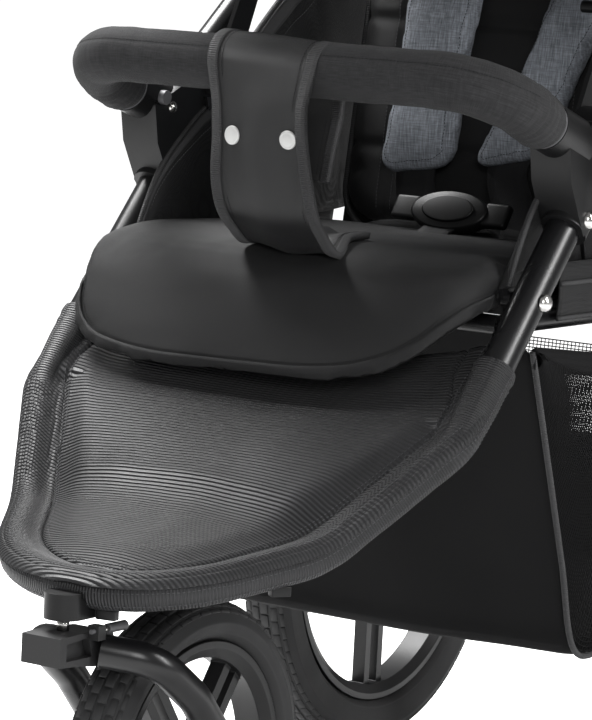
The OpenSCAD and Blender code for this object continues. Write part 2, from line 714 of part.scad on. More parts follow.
// ---- rear legs ----------------------------------------------------------------------
leg_foot = [0, beam_y - 92, beam_z + 8];
leg_dir = unit(leg_foot - hub);
leg_len = norm(leg_foot - hub);
beam = [0, beam_y, beam_z];
beam_r = beam_d / 2;
arm_pivot = [0, rear_axle_y - 80, rear_wheel_r + 48];
module leg_tubes() {
    color("#18181a") place() sides() tube(at_x(hub + leg_dir * arm_start, arm_x),
        at_x(hub + leg_dir * (leg_len - 12), arm_x), arm_r, tube_wall);
}
foot_in = arm_x - arm_r - 2;
foot_out = arm_x + arm_r + 2;
arm_in = arm_x - arm_t / 2;
arm_out = arm_x + arm_t / 2;
foot_half = 14;
module leg_castings() {
    foot = [leg_foot.y, leg_foot.z];
    color("#2c2c2e") place() sides() {
        folding_disc(leg_disc_x, leg_dir);
        difference() {
            union() {
                rod(at_x(hub + leg_dir * (leg_len - 44), arm_x), at_x(leg_foot, arm_x), arm_r + 3);
                plate(foot_in, foot_out, strip(foot - [14, 0], [beam.y, beam.z], foot_half));
                disc(beam, foot_in, foot_out, beam_r + 5);
                plate(foot_in, foot_out, strip(foot - [8, 0], [arm_pivot.y, arm_pivot.z], 13));
                disc(arm_pivot, foot_in, foot_out, 14);
                disc(beam, foot_in - 20, foot_in + 1, beam_r - 2 - seat_gap);
            }
            rod(at_x(hub + leg_dir * (leg_len - 60), arm_x),
                at_x(hub + leg_dir * (leg_len - 11.5), arm_x), arm_r + seat_gap);
            disc(arm_pivot, arm_in - gap, arm_out + gap, 20);
            plate(arm_in - gap, arm_out + gap, strip([arm_pivot.y, arm_pivot.z],
                [rear_axle.y, rear_axle.z], 14));
        }
        disc(arm_pivot, foot_in, foot_out, arm_pin_r);
    }
}
module rear_beam() {
    color("#18181a") place() tube([-foot_in + seat_gap, beam.y, beam.z],
        [foot_in - seat_gap, beam.y, beam.z], beam_r, 2);
}

// ---- suspension ---------------------------------------------------------------------
arm_line = unit(arm_pivot - rear_axle);
brake_r = 34;       // distance of the brake pins from the axle
brake_pin_r = 4;
brake_at = rear_axle + arm_line * brake_r;
wheel_x = rear_track / 2;
rear_hub_half = 23;
axle_end = wheel_x + rear_hub_half - 11;
module suspension_arm() {
    color("#2c2c2e") place() difference() {
        union() {
            plate(arm_in, arm_out, strip([arm_pivot.y, arm_pivot.z], [rear_axle.y, rear_axle.z], 11));
            disc(arm_pivot, arm_in, arm_out, 13);
            disc(rear_axle, arm_in, arm_out + 6, 15);
            disc(rear_axle, arm_out, axle_end, axle_r);
        }
        disc(arm_pivot, arm_in - 1, arm_out + 1, arm_pin_r + run);
        disc(brake_at, arm_in - 1, arm_out + 1, brake_pin_r + run);
    }
}
module left_suspension_arm() { suspension_arm(); }
module right_suspension_arm() { mirror([1, 0, 0]) suspension_arm(); }

spring_y = (arm_pivot.y + rear_axle.y) / 2 + 5;
spring_share = (spring_y - leg_foot.y + 14) / (beam.y - leg_foot.y + 14);
spring_top = leg_foot.z + (beam.z - leg_foot.z) * spring_share - foot_half - 2.2;
spring_low = rear_axle.z + (arm_pivot.z - rear_axle.z) * (rear_axle.y - spring_y)
    / (rear_axle.y - arm_pivot.y) + 15.2;
spring_turns = 4;
module spring() {
    r = 7.5;
    steps = spring_turns * 12;
    path = [for (i = [0 : steps]) let (a = 360 * i / 12)
        [arm_x + r * cos(a), spring_y + r * sin(a), spring_low + (spring_top - spring_low) * i / steps]];
    color("#8a8b8d") place() bar(path, [0, 0, 1], 1.6, 1.6, 8);
}
module left_spring() { spring(); }
module right_spring() { mirror([1, 0, 0]) spring(); }

// ---- wheels -------------------------------------------------------------------------
function tyre_half(r, h, w) = [[r - h + gap, 0.26 * w], [r - 0.86 * h, 0.42 * w], [r - 0.6 * h, 0.5 * w],
    [r - 0.3 * h, 0.47 * w], [r - 0.09 * h, 0.33 * w], [r, 0.12 * w]];
module tyre(r, h) {
    half = tyre_half(r, h, tyre_w);
    rotate([0, 90, 0]) rotate_extrude($fn = 96) polygon(concat(half,
        [for (i = [len(half) - 1 : -1 : 0]) [half[i].x, -half[i].y]]));
}
spoke_side = 0.5;   // offset of a spoke from its pair's middle, as a share of the hub's radius
module rim(r, hub_half, hub_radius) {
    half_w = 0.34 * tyre_w;
    rotate([0, 90, 0]) difference() {
        union() {
            rotate_extrude($fn = 96) polygon([[r - 14, -half_w + 4], [r - 6, -half_w - 2],
                [r, -half_w - 2], [r, -0.24 * tyre_w], [r - 5, -0.2 * tyre_w], [r - 5, 0.2 * tyre_w],
                [r, 0.24 * tyre_w], [r, half_w + 2], [r - 6, half_w + 2], [r - 14, half_w - 4]]);
            cylinder(r = hub_radius, h = 2 * hub_half, center = true, $fn = fine);
            translate([0, 0, -7]) linear_extrude(14)
                for (k = [0 : spoke_pairs - 1], s = [-1, 1]) rotate(360 * k / spoke_pairs)
                    translate([axle_r, s * spoke_side * hub_radius - spoke_t / 2])
                        square([r - axle_r - 11, spoke_t]);
        }
        cylinder(r = axle_r + run, h = 3 * hub_half, center = true, $fn = fine);
    }
}
cap_r = 9;
module rear_rim() {
    color("#1f1f20") place() translate([wheel_x, rear_axle.y, rear_axle.z]) difference() {
        union() {
            rim(rear_wheel_r - rear_tyre_h, rear_hub_half, 22);
            rotate([0, 90, 0]) translate([0, 0, -rear_hub_half])
                cylinder(r = brake_r + 9, h = 6, $fn = fine);
        }
        rotate([0, 90, 0]) {
            translate([0, 0, rear_hub_half - 9]) cylinder(r = cap_r + run, h = 12, $fn = fine);
            translate([0, 0, -rear_hub_half - 1]) cylinder(r = axle_r + run, h = 20, $fn = fine);
        }
        for (k = [0 : 11]) rotate([30 * k, 0, 0]) translate([-rear_hub_half - 1, 0, 0]
            + [0, arm_line.y, arm_line.z] * brake_r) rotate([0, 90, 0])
                cylinder(r = brake_pin_r + 1.5, h = 8, $fn = fine);
    }
}
module left_rear_rim() { rear_rim(); }
module right_rear_rim() { mirror([1, 0, 0]) rear_rim(); }
module rear_tyre() {
    color("#2b2b2c") place() translate([wheel_x, rear_axle.y, rear_axle.z])
        tyre(rear_wheel_r, rear_tyre_h);
}
module left_rear_tyre() { rear_tyre(); }
module right_rear_tyre() { mirror([1, 0, 0]) rear_tyre(); }
module hub_button() {
    color("#9a9a98") place() disc(rear_axle, wheel_x + rear_hub_half - 5,
        wheel_x + rear_hub_half + 2, cap_r);
}
module left_hub_button() { hub_button(); }
module right_hub_button() { mirror([1, 0, 0]) hub_button(); }

// ---- brake --------------------------------------------------------------------------
module brake_pedal() {
    color("#a33a34") place() difference() {
        union() {
            disc(beam, -46, 46, beam_r + 5);
            plate(-40, 40, [[beam.y + 8, beam.z + 16], [beam.y + 72, beam.z + 8],
                [beam.y + 74, beam.z + 1], [beam.y + 8, beam.z + 6]]);
        }
        disc(beam, -47, 47, beam_r + run);
    }
}
module brake_pin() {
    color("#b8b8b4") place() disc(brake_at, arm_in + 2, wheel_x - rear_hub_half - 2, brake_pin_r);
}
module left_brake_pin() { brake_pin(); }
module right_brake_pin() { mirror([1, 0, 0]) brake_pin(); }

// ---- fork and front wheel -----------------------------------------------------------
front_axle_at = [0, front_axle_y, front_wheel_r];
crown_low = crown_top - 23;
crown_rear = swivel_y - 38;
crown_x = crown_w / 2;
module fork_crown() {
    color("#3c3d3f") place() difference() {
        union() {
            plate(-crown_x, crown_x, [[-crown_front, crown_low], [-crown_front, crown_top - 1],
                [-swivel_y, crown_top], [-crown_rear, crown_top - 3], [-crown_rear + 6, crown_low + 6],
                [-crown_rear - 6, crown_low - 6], [-crown_front + 20, crown_low - 1]]);
            translate([0, -swivel_y, crown_top - 12])
                cylinder(r = king_r, h = nose_z - crown_top + 8, $fn = fine);
            translate(knob_at - [6, 16, 7]) cube([10, 9, 11]);
        }
        sides() plate(crown_x - 7, crown_x + 1, [[-crown_front + 8, crown_low + 4],
            [-crown_front + 8, crown_top - 6], [-swivel_y + 8, crown_top - 4],
            [-swivel_y + 14, crown_low + 4]]);
        rod(knob_at - [0, 17, 0], knob_at - [0, 6, 0], knob_pin_r + run);
        sides() rod(fork_path[0] - fork_root_dir * seat_gap,
            fork_path[0] + fork_root_dir * 20, fork_d / 2 + seat_gap);
    }
}
fork_x = fork_track / 2;
fork_foot_x = fork_x + 4;
axle_lug_r = 14;
fork_knee = [fork_foot_x, -crown_rear + 52, crown_low - 32];
fork_toe = at_x(front_axle_at + unit(at_x(fork_knee, 0) - front_axle_at) * (axle_lug_r + gap), fork_foot_x);
fork_path = bent([[crown_x + 0.5, -crown_rear - 14, crown_low + 7],
    [crown_x + 38, -crown_rear + 6, crown_low + 2], fork_knee, fork_toe], [34, 60], 6);
fork_root_dir = unit(fork_path[1] - fork_path[0]);
module fork_legs() {
    color("#18181a") place() sides() bar(fork_path, [0.3, -0.2, 1], fork_d / 2, fork_d / 2, 20);
}
module front_axle() {
    color("#2c2c2e") place() {
        disc(front_axle_at, -fork_x - 12, fork_x + 12, axle_r);
        sides() {
            disc(front_axle_at, fork_x - 8, fork_x + 13, axle_lug_r);
            disc(front_axle_at, fork_x + 13, fork_x + 20, 9);
        }
    }
}
knob_at = [crown_x + 5, -swivel_y + 24, crown_top + 1.5];
knob_pin_r = 1.8;
module swivel_lock_knob() {
    color("#6a6b6d") place() {
        rod(knob_at - [0, 20, 0], knob_at + [0, 1, 0], knob_pin_r);
        rod(knob_at, knob_at + [0, 22, 0], 3.8);
    }
}
module front_tyre() {
    color("#2b2b2c") place() translate(front_axle_at) tyre(front_wheel_r, front_tyre_h);
}
module front_rim() {
    color("#1f1f20") place() translate(front_axle_at)
        rim(front_wheel_r - front_tyre_h, 24, 17);
}

// ---- bumper bar ---------------------------------------------------------------------
cover_start = arm_root + arm_dir * (socket_len + 1.5);
bar_knee = arm_root + arm_dir * (socket_len + 16);
bar_corner = [tube_x + 2, -bumper_y, bumper_z];
bumper_half = bent([cover_start, bar_knee, bar_corner, [0, -bumper_y, bumper_z]], [24, bumper_bend - 40], 6);
module bumper_bar() {
    color("#222223") place() {
        sides() rod(arm_root + arm_dir, arm_root + arm_dir * (socket_len + 1), spigot_r);
        bar(both_sides(concat([arm_root + arm_dir * 20],
            [for (i = [0 : len(bumper_half) - 2]) bumper_half[i]])), [0, 0.3, 1], 9, 9, 16);
    }
}
module bumper_cover() {
    color("#414245") place() pipe(both_sides([for (i = [0 : len(bumper_half) - 2]) bumper_half[i]]),
        [0, 0.3, 1], bumper_d / 2, bumper_d / 2 - 9 - gap, 24);
}
strap_t = 4;
module bumper_strap() {
    over = bumper_d / 2 + gap;
    front = -bumper_y - over - strap_t + 1;
    foot = -bumper_y + 14;
    x = strap_w / 2;
    color("#2d2d2f") place() difference() {
        union() {
            disc([0, -bumper_y, bumper_z], -x, x, over + strap_t);
            plate(-x, x, [[front, bumper_z], [front + 2, bumper_z - 56], [foot - strap_t, pad_level - 8],
                [foot + strap_t, pad_level - 8], [front + 10, bumper_z - 56], [front + 8, bumper_z]]);
        }
        disc([0, -bumper_y, bumper_z], -x - 1, x + 1, over);
    }
}
module bumper_button() {
    color("#55565a") place() disc(button_at, casting_in - 5.3, casting_in + 1.4, button_r);
}
module left_bumper_button() { bumper_button(); }
module right_bumper_button() { mirror([1, 0, 0]) bumper_button(); }

main_tubes();
front_loop();
steering_head();
hub_castings();
frame_bolts();
seat_frame();
seat_board();
seat_pad();
seat_wings();
footrest_panel();
footrest_binding();
basket();
crotch_strap();
harness_buckle();
hood_brackets();
hood_rear_panel();
hood_middle_panel();
hood_front_panel();
backrest_board();
backrest_pad();
shoulder_pads();
harness_straps();
recline_lever();
push_tubes();
push_castings();
handle_joints();
left_fold_slider();
right_fold_slider();
handle_tube();
handle_grip();
left_height_button();
right_height_button();
leg_tubes();
leg_castings();
rear_beam();
left_suspension_arm();
right_suspension_arm();
left_spring();
right_spring();
left_rear_tyre();
right_rear_tyre();
left_rear_rim();
right_rear_rim();
left_hub_button();
right_hub_button();
brake_pedal();
left_brake_pin();
right_brake_pin();
fork_crown();
fork_legs();
front_axle();
swivel_lock_knob();
front_tyre();
front_rim();
bumper_bar();
bumper_cover();
bumper_strap();
left_bumper_button();
right_bumper_button();
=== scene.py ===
"""Dresses the packed model of a three-wheeled baby stroller in fabric, rubber, plastic and metal."""

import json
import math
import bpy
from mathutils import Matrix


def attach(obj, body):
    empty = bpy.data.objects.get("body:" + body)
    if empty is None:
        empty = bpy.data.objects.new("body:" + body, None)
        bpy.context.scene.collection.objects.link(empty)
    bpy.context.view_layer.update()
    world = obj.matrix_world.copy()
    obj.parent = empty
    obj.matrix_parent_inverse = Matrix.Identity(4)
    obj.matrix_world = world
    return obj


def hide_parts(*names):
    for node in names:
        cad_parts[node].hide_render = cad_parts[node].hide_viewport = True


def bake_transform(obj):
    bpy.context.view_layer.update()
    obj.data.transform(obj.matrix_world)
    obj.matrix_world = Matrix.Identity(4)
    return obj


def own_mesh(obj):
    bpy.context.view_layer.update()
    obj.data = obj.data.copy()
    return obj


bl_info = {
    "name": "Three-wheeled stroller",
    "version": (1, 0, 0),
    "blender": (4, 5, 0),
    "location": "View3D > Sidebar > Stroller",
    "description": "Builds the stroller's fabric, padding, tyres and finishes round its packed frame",
    "category": "Object",
}

import bmesh
import bpy
from mathutils import Euler, Matrix, Vector, noise
from mathutils.bvhtree import BVHTree
from mathutils.kdtree import KDTree

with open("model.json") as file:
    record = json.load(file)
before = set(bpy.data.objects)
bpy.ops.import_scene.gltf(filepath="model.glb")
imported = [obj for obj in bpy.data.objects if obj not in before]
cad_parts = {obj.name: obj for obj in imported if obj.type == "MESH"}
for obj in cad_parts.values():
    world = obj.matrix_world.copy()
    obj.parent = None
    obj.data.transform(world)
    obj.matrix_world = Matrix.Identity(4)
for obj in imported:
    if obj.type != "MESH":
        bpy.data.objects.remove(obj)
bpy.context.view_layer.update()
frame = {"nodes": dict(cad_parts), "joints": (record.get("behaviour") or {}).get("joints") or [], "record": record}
NODES = frame["nodes"]
JOINT_AT = {j["name"]: Vector(j["pos_m"]) for j in frame["joints"] if "pos_m" in j}
HUB = JOINT_AT["push_bar_fold"]
MM = 0.001
ACROSS, UP = Vector((1, 0, 0)), Vector((0, 0, 1))


# ---- places and paths ---------------------------------------------------------------
def at(x, y, z):
    """A point given in millimetres, with y measured from the fold hubs and z from the floor."""
    return Vector((x * MM, HUB.y + y * MM, z * MM))


def lerp(a, b, t):
    """The value at the share t of the way from a to b."""
    return a + (b - a) * t


def smooth(t):
    """An even rise from 0 to 1 as t goes from 0 to 1."""
    t = min(max(t, 0.0), 1.0)
    return t * t * (3 - 2 * t)


def course(points, t):
    """The value at t on a line through (t, value) pairs."""
    for (t0, v0), (t1, v1) in zip(points, points[1:]):
        if t <= t1:
            return lerp(v0, v1, (t - t0) / (t1 - t0)) if t > t0 else v0
    return points[-1][1]


def rounded(points, radii, steps):
    """The path through the points with each inner corner rounded to its radius."""
    out = [points[0]]
    for a, b, c, r in zip(points, points[1:], points[2:], radii):
        u, w = (a - b).normalized(), (c - b).normalized()
        half = u.angle(w) / 2
        start, end = b + u * r / math.tan(half), b + w * r / math.tan(half)
        centre, turn = b + (u + w).normalized() * r / math.sin(half), math.pi - 2 * half
        for i in range(steps + 1):
            t = i / steps
            out.append(centre + (math.sin((1 - t) * turn) * (start - centre)
                                 + math.sin(t * turn) * (end - centre)) / math.sin(turn))
    return out + [points[-1]]


def both_sides(half):
    """A path that runs to the middle plane, with its mirror image after it."""
    return half + [Vector((-p.x, p.y, p.z)) for p in reversed(half)]


def spaced(path, step):
    """The path cut anew into even lengths of about step."""
    lengths = [0.0]
    for a, b in zip(path, path[1:]):
        lengths.append(lengths[-1] + (b - a).length)
    count, out, k = max(2, round(lengths[-1] / step)), [], 0
    for i in range(count + 1):
        d = lengths[-1] * i / count
        while k < len(path) - 2 and lengths[k + 1] < d:
            k += 1
        span = lengths[k + 1] - lengths[k]
        out.append(path[k].lerp(path[k + 1], (d - lengths[k]) / span if span else 0))
    return out


def headings(path):
    """The direction of the path at each of its points."""
    out = []
    for i in range(len(path)):
        out.append((path[min(i + 1, len(path) - 1)] - path[max(i - 1, 0)]).normalized())
    return out


# ---- meshes -------------------------------------------------------------------------
def linked(name, data):
    """A new object in the scene."""
    obj = bpy.data.objects.new(name, data)
    bpy.context.scene.collection.objects.link(obj)
    return obj


def new_object(name, verts, faces, uvs=None):
    """A smooth mesh object, with a UV pair for each corner of each face where uvs are given."""
    mesh = bpy.data.meshes.new(name)
    mesh.from_pydata([tuple(v) for v in verts], [], faces)
    if uvs:
        layer = mesh.uv_layers.new(name="UVMap")
        for poly, corners in zip(mesh.polygons, uvs):
            for loop, uv in zip(poly.loop_indices, corners):
                layer.data[loop].uv = uv
    mesh.polygons.foreach_set("use_smooth", [True] * len(mesh.polygons))
    return linked(name, mesh)


def grid(name, rows, wrap=False, caps=False):
    """A sheet through rows of points, with UVs in metres. wrap closes each row; caps closes the ends."""
    n, m = len(rows), len(rows[0])
    span = m if wrap else m - 1
    mid_row, mid = rows[n // 2], m // 2
    u, v = [0.0], [0.0]
    for j in range(span):
        u.append(u[-1] + (mid_row[(j + 1) % m] - mid_row[j]).length)
    for i in range(n - 1):
        v.append(v[-1] + (rows[i + 1][mid] - rows[i][mid]).length)
    faces, uvs = [], []
    for i in range(n - 1):
        for j in range(span):
            k = (j + 1) % m
            faces.append((i * m + j, i * m + k, (i + 1) * m + k, (i + 1) * m + j))
            uvs.append(((u[j], v[i]), (u[j + 1], v[i]), (u[j + 1], v[i + 1]), (u[j], v[i + 1])))
    verts = [p for r in rows for p in r]
    if caps:
        for i, flip in ((0, True), (n - 1, False)):
            centre = sum(rows[i], Vector()) / m
            verts.append(centre)
            for j in range(m):
                a, b = i * m + j, i * m + (j + 1) % m
                faces.append((len(verts) - 1, b, a) if flip else (len(verts) - 1, a, b))
                uvs.append(((0, v[i]), (u[j], v[i]), (u[j], v[i])))
    return new_object(name, verts, faces, uvs)


def outward(obj):
    """Turns the faces of a closed mesh outwards."""
    bm = bmesh.new()
    bm.from_mesh(obj.data)
    bmesh.ops.remove_doubles(bm, verts=bm.verts, dist=1e-6)
    bmesh.ops.recalc_face_normals(bm, faces=bm.faces)
    bm.to_mesh(obj.data)
    bm.free()
    return obj


def sweep(name, path, radius, across, sides, caps=True):
    """A bar along the path. radius is a length or a function of the share of the path and the angle."""
    rows = []
    for i, (p, t) in enumerate(zip(path, headings(path))):
        side = across.cross(t).normalized()
        up = t.cross(side)
        row = []
        for k in range(sides):
            a = 2 * math.pi * k / sides
            r = radius(i / (len(path) - 1), a) if callable(radius) else radius
            row.append(p + side * (r * math.cos(a)) + up * (r * math.sin(a)))
        rows.append(row)
    obj = grid(name, rows, wrap=True, caps=caps)
    return outward(obj) if caps else obj


def revolve(name, profile, centre, steps):
    """A ring about the X axis through centre, from a closed profile of (radius, x) pairs in mm."""
    rows = []
    for i in range(steps):
        a = 2 * math.pi * i / steps
        rows.append([centre + Vector((x, r * math.cos(a), r * math.sin(a))) * MM for r, x in profile])
    return outward(grid(name, rows + [rows[0]], wrap=True))


def ribbon(name, path, across, thickness):
    """A flat strap along the path. across gives the half width's vector at each point of the path."""
    rows = [[p - w, p - w * 0.5, p, p + w * 0.5, p + w] for p, w in zip(path, across)]
    return thicken(grid(name, rows), thickness)


def thicken(obj, thickness, offset=0):
    """Gives a sheet a thickness, on both sides or on one."""
    wall = obj.modifiers.new("Wall", "SOLIDIFY")
    wall.thickness, wall.offset, wall.use_even_offset = thickness, offset, False
    return obj


def finer(obj):
    """Subdivides a mesh smoothly, once."""
    mod = obj.modifiers.new("Finer", "SUBSURF")
    mod.levels = mod.render_levels = 1
    return obj


def flattened(obj):
    """The object with its modifiers made part of its mesh."""
    graph = bpy.context.evaluated_depsgraph_get()
    graph.update()
    mesh = bpy.data.meshes.new_from_object(obj.evaluated_get(graph))
    old, obj.data = obj.data, mesh
    obj.modifiers.clear()
    bpy.data.meshes.remove(old)
    return obj


def swollen(obj, voxel, cap, pressure, pinned=None):
    """A padded piece: the shell is remeshed, blown up as cloth and held within cap of where it was."""
    mod = obj.modifiers.new("Remesh", "REMESH")
    mod.mode, mod.voxel_size = "VOXEL", voxel
    flattened(obj)
    rest = [v.co.copy() for v in obj.data.vertices]
    cloth = obj.modifiers.new("Cloth", "CLOTH")
    cloth.settings.quality = 4
    cloth.settings.mass = 0.3
    cloth.settings.tension_stiffness = cloth.settings.compression_stiffness = 12
    cloth.settings.use_pressure = True
    cloth.settings.uniform_pressure_force = pressure
    cloth.settings.effector_weights.gravity = 0
    cloth.collision_settings.use_collision = False
    cloth.point_cache.frame_start, cloth.point_cache.frame_end = 1, 20
    for f in range(1, 21):
        bpy.context.scene.frame_set(f)
    flattened(obj)
    bpy.context.scene.frame_set(1)
    for v, at_rest in zip(obj.data.vertices, rest):
        move = v.co - at_rest
        limit = cap * (pinned(at_rest) if pinned else 1.0)
        if move.length > limit:
            v.co = at_rest + move.normalized() * limit
    finer(obj)
    flattened(obj)
    obj.data.polygons.foreach_set("use_smooth", [True] * len(obj.data.polygons))
    return obj


def pushed(obj, depth):
    """Moves each vertex along its normal by depth, a function of its place."""
    places = [v.co + v.normal * depth(v.co) for v in obj.data.vertices]
    for v, place in zip(obj.data.vertices, places):
        v.co = place
    return obj


def carried(obj, body):
    """Puts a piece on its body; one that is "between" bends from the frame to the backrest."""
    if body == "between":
        leaning(0, -170, 0)
        leaning(0, 8, 0)
        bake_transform(obj)
    else:
        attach(obj, body)


def dressed(obj, body, slot, *nodes, finish=None):
    """Gives a piece its finish, its body, its slot and the solids that it stands for."""
    obj.data.materials.clear()
    obj.data.materials.append(FINISHES[finish or slot])
    carried(obj, body)
    if nodes:
        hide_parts(*nodes)
    return obj


def joined(name, objects):
    """One object from several."""
    bm = bmesh.new()
    for o in objects:
        flattened(o)
        bm.from_mesh(o.data)
    mesh = bpy.data.meshes.new(name)
    bm.to_mesh(mesh)
    bm.free()
    for o in objects:
        bpy.data.objects.remove(o)
    mesh.polygons.foreach_set("use_smooth", [True] * len(mesh.polygons))
    return linked(name, mesh)


# ---- materials ----------------------------------------------------------------------
class Finish:
    """A material's node tree, with short calls for the nodes that it needs."""

    def __init__(self, name, colour, rough, metallic=0.0, coords="Object", **sockets):
        self.material = bpy.data.materials.new(name)
        self.material.use_nodes = True
        self.tree = self.material.node_tree
        self.shader = self.tree.nodes["Principled BSDF"]
        self.shader.inputs["Base Color"].default_value = (*colour, 1)
        self.shader.inputs["Roughness"].default_value = rough
        self.shader.inputs["Metallic"].default_value = metallic
        for key, value in sockets.items():
            self.shader.inputs[key.replace("_", " ").title().replace("Ior", "IOR")].default_value = value
        where = self.node("ShaderNodeTexCoord")
        self.where = where.outputs["UV" if coords == "UV" else "Object"]
        self.height = None

    def node(self, kind, **values):
        made = self.tree.nodes.new(kind)
        for key, value in values.items():
            setattr(made, key, value)
        return made

    def link(self, a, b):
        self.tree.links.new(a, b)

    def sized(self, scale):
        """The texture's coordinates and scale, for a scale of one number or of three."""
        if isinstance(scale, (int, float)):
            return self.where, scale
        mapping = self.node("ShaderNodeMapping")
        self.link(self.where, mapping.inputs["Vector"])
        mapping.inputs["Scale"].default_value = scale
        return mapping.outputs["Vector"], 1.0

    def noise(self, scale, detail=2.0):
        """Cloudy noise; a scale of three numbers stretches it along the axes."""
        source, size = self.sized(scale)
        made = self.node("ShaderNodeTexNoise")
        made.inputs["Scale"].default_value = size
        made.inputs["Detail"].default_value = detail
        self.link(source, made.inputs["Vector"])
        return made.outputs["Fac"]

    def math(self, operation, a, b=None):
        made = self.node("ShaderNodeMath", operation=operation)
        for socket, value in zip(made.inputs, (a, b)):
            if value is None:
                continue
            if isinstance(value, (int, float)):
                socket.default_value = value
            else:
                self.link(value, socket)
        return made.outputs[0]

    def spread(self, value, low, high, to_low, to_high):
        """The value's range from low to high mapped to another."""
        made = self.node("ShaderNodeMapRange")
        for key, number in (("From Min", low), ("From Max", high), ("To Min", to_low), ("To Max", to_high)):
            made.inputs[key].default_value = number
        self.link(value, made.inputs["Value"])
        return made.outputs["Result"]

    def waves(self, axis, pitch):
        """Sine ridges across one axis, from -1 to 1."""
        split = self.node("ShaderNodeSeparateXYZ")
        self.link(self.where, split.inputs[0])
        return self.math("SINE", self.math("MULTIPLY", split.outputs[axis], 2 * math.pi / pitch))

    def weave(self, pitch):
        """Over and under of two threads, from -1 to 1, on any face of a piece."""
        split = self.node("ShaderNodeSeparateXYZ")
        self.link(self.where, split.inputs[0])
        slant = self.math("ADD", split.outputs[2], self.math("MULTIPLY", split.outputs[1], 0.8))
        k = 2 * math.pi / pitch
        return self.math("MULTIPLY", self.math("SINE", self.math("MULTIPLY", split.outputs[0], k)),
                         self.math("SINE", self.math("MULTIPLY", slant, k)))

    def colours(self, value, *stops):
        """The base colour along (place, colour) stops."""
        ramp = self.node("ShaderNodeValToRGB")
        elements = ramp.color_ramp.elements
        while len(elements) < len(stops):
            elements.new(0.5)
        for element, (place, colour) in zip(elements, stops):
            element.position, element.color = place, (*colour, 1)
        self.link(value, ramp.inputs["Fac"])
        self.link(ramp.outputs["Color"], self.shader.inputs["Base Color"])

    def roughness(self, value, low, high):
        """Roughness from low to high over the middle of value's range."""
        self.link(self.spread(value, 0.3, 0.7, low, high), self.shader.inputs["Roughness"])

    def bump(self, value, distance, strength=1.0):
        """Relief of a height in metres, on top of the relief before it."""
        made = self.node("ShaderNodeBump")
        made.inputs["Distance"].default_value = distance
        made.inputs["Strength"].default_value = strength
        self.link(value, made.inputs["Height"])
        if self.height:
            self.link(self.height, made.inputs["Normal"])
        self.height = made.outputs["Normal"]
        self.link(self.height, self.shader.inputs["Normal"])


def shade(colour, factor):
    """The colour made darker or lighter by a factor."""
    return tuple(c * factor for c in colour)


def cloth_finish(name, colour, pitch, streak, rough, sheen, contrast, coords="Object", gleam=0.25):
    """Woven cloth: threads, cloudy wear of the dye, and streaks of lighter yarn if streak is above 0."""
    f = Finish(name, colour, rough, coords=coords, sheen_weight=sheen)
    f.shader.inputs["Specular IOR Level"].default_value = gleam
    f.shader.inputs["Sheen Roughness"].default_value = 0.4
    cloud = f.noise(9.0, 3)
    if streak:
        fine, long = 1.1 / pitch, 0.1 / pitch
        if coords == "UV":
            down, along = f.noise((fine, long, 0.9 * long), 2), f.noise((long, fine, long), 2)
        else:
            down, along = f.noise((fine, 3 * long, 0.8 * long), 2), f.noise((0.8 * long, 3 * long, fine), 2)
        yarn = f.math("ADD", f.math("MULTIPLY", down, 0.6), f.math("MULTIPLY", along, 0.4))
        mix = f.math("ADD", f.math("MULTIPLY", yarn, streak), f.math("MULTIPLY", cloud, 1 - streak))
    else:
        grain = f.math("MULTIPLY", f.noise(1 / pitch, 1), 0.3)
        mix = f.math("ADD", f.math("MULTIPLY", cloud, 0.7), grain)
    dark, light = shade(colour, 1 - contrast), shade(colour, 1 + contrast * 1.4)
    f.colours(mix, (0.32, dark), (0.5, colour), (0.68, light))
    f.roughness(cloud, rough - 0.06, rough + 0.06)
    if coords == "UV":
        weave = f.math("MULTIPLY", f.waves(0, pitch), f.waves(1, pitch))
    else:
        weave = f.weave(pitch)
    f.bump(weave, pitch * 0.22, 0.6)
    f.bump(f.noise(60.0, 2), 0.0006, 0.25)
    return f.material


def moulded(name, colour, rough, grain=900.0, depth=0.00008, **sockets):
    """Moulded plastic with a fine grain and faint handling marks."""
    f = Finish(name, colour, rough, **sockets)
    cloud = f.noise(14.0, 3)
    f.colours(cloud, (0.3, shade(colour, 0.82)), (0.7, shade(colour, 1.2)))
    f.roughness(cloud, rough - 0.05, rough + 0.07)
    f.bump(f.noise(grain, 2), depth, 0.5)
    return f.material


FINISHES = {}


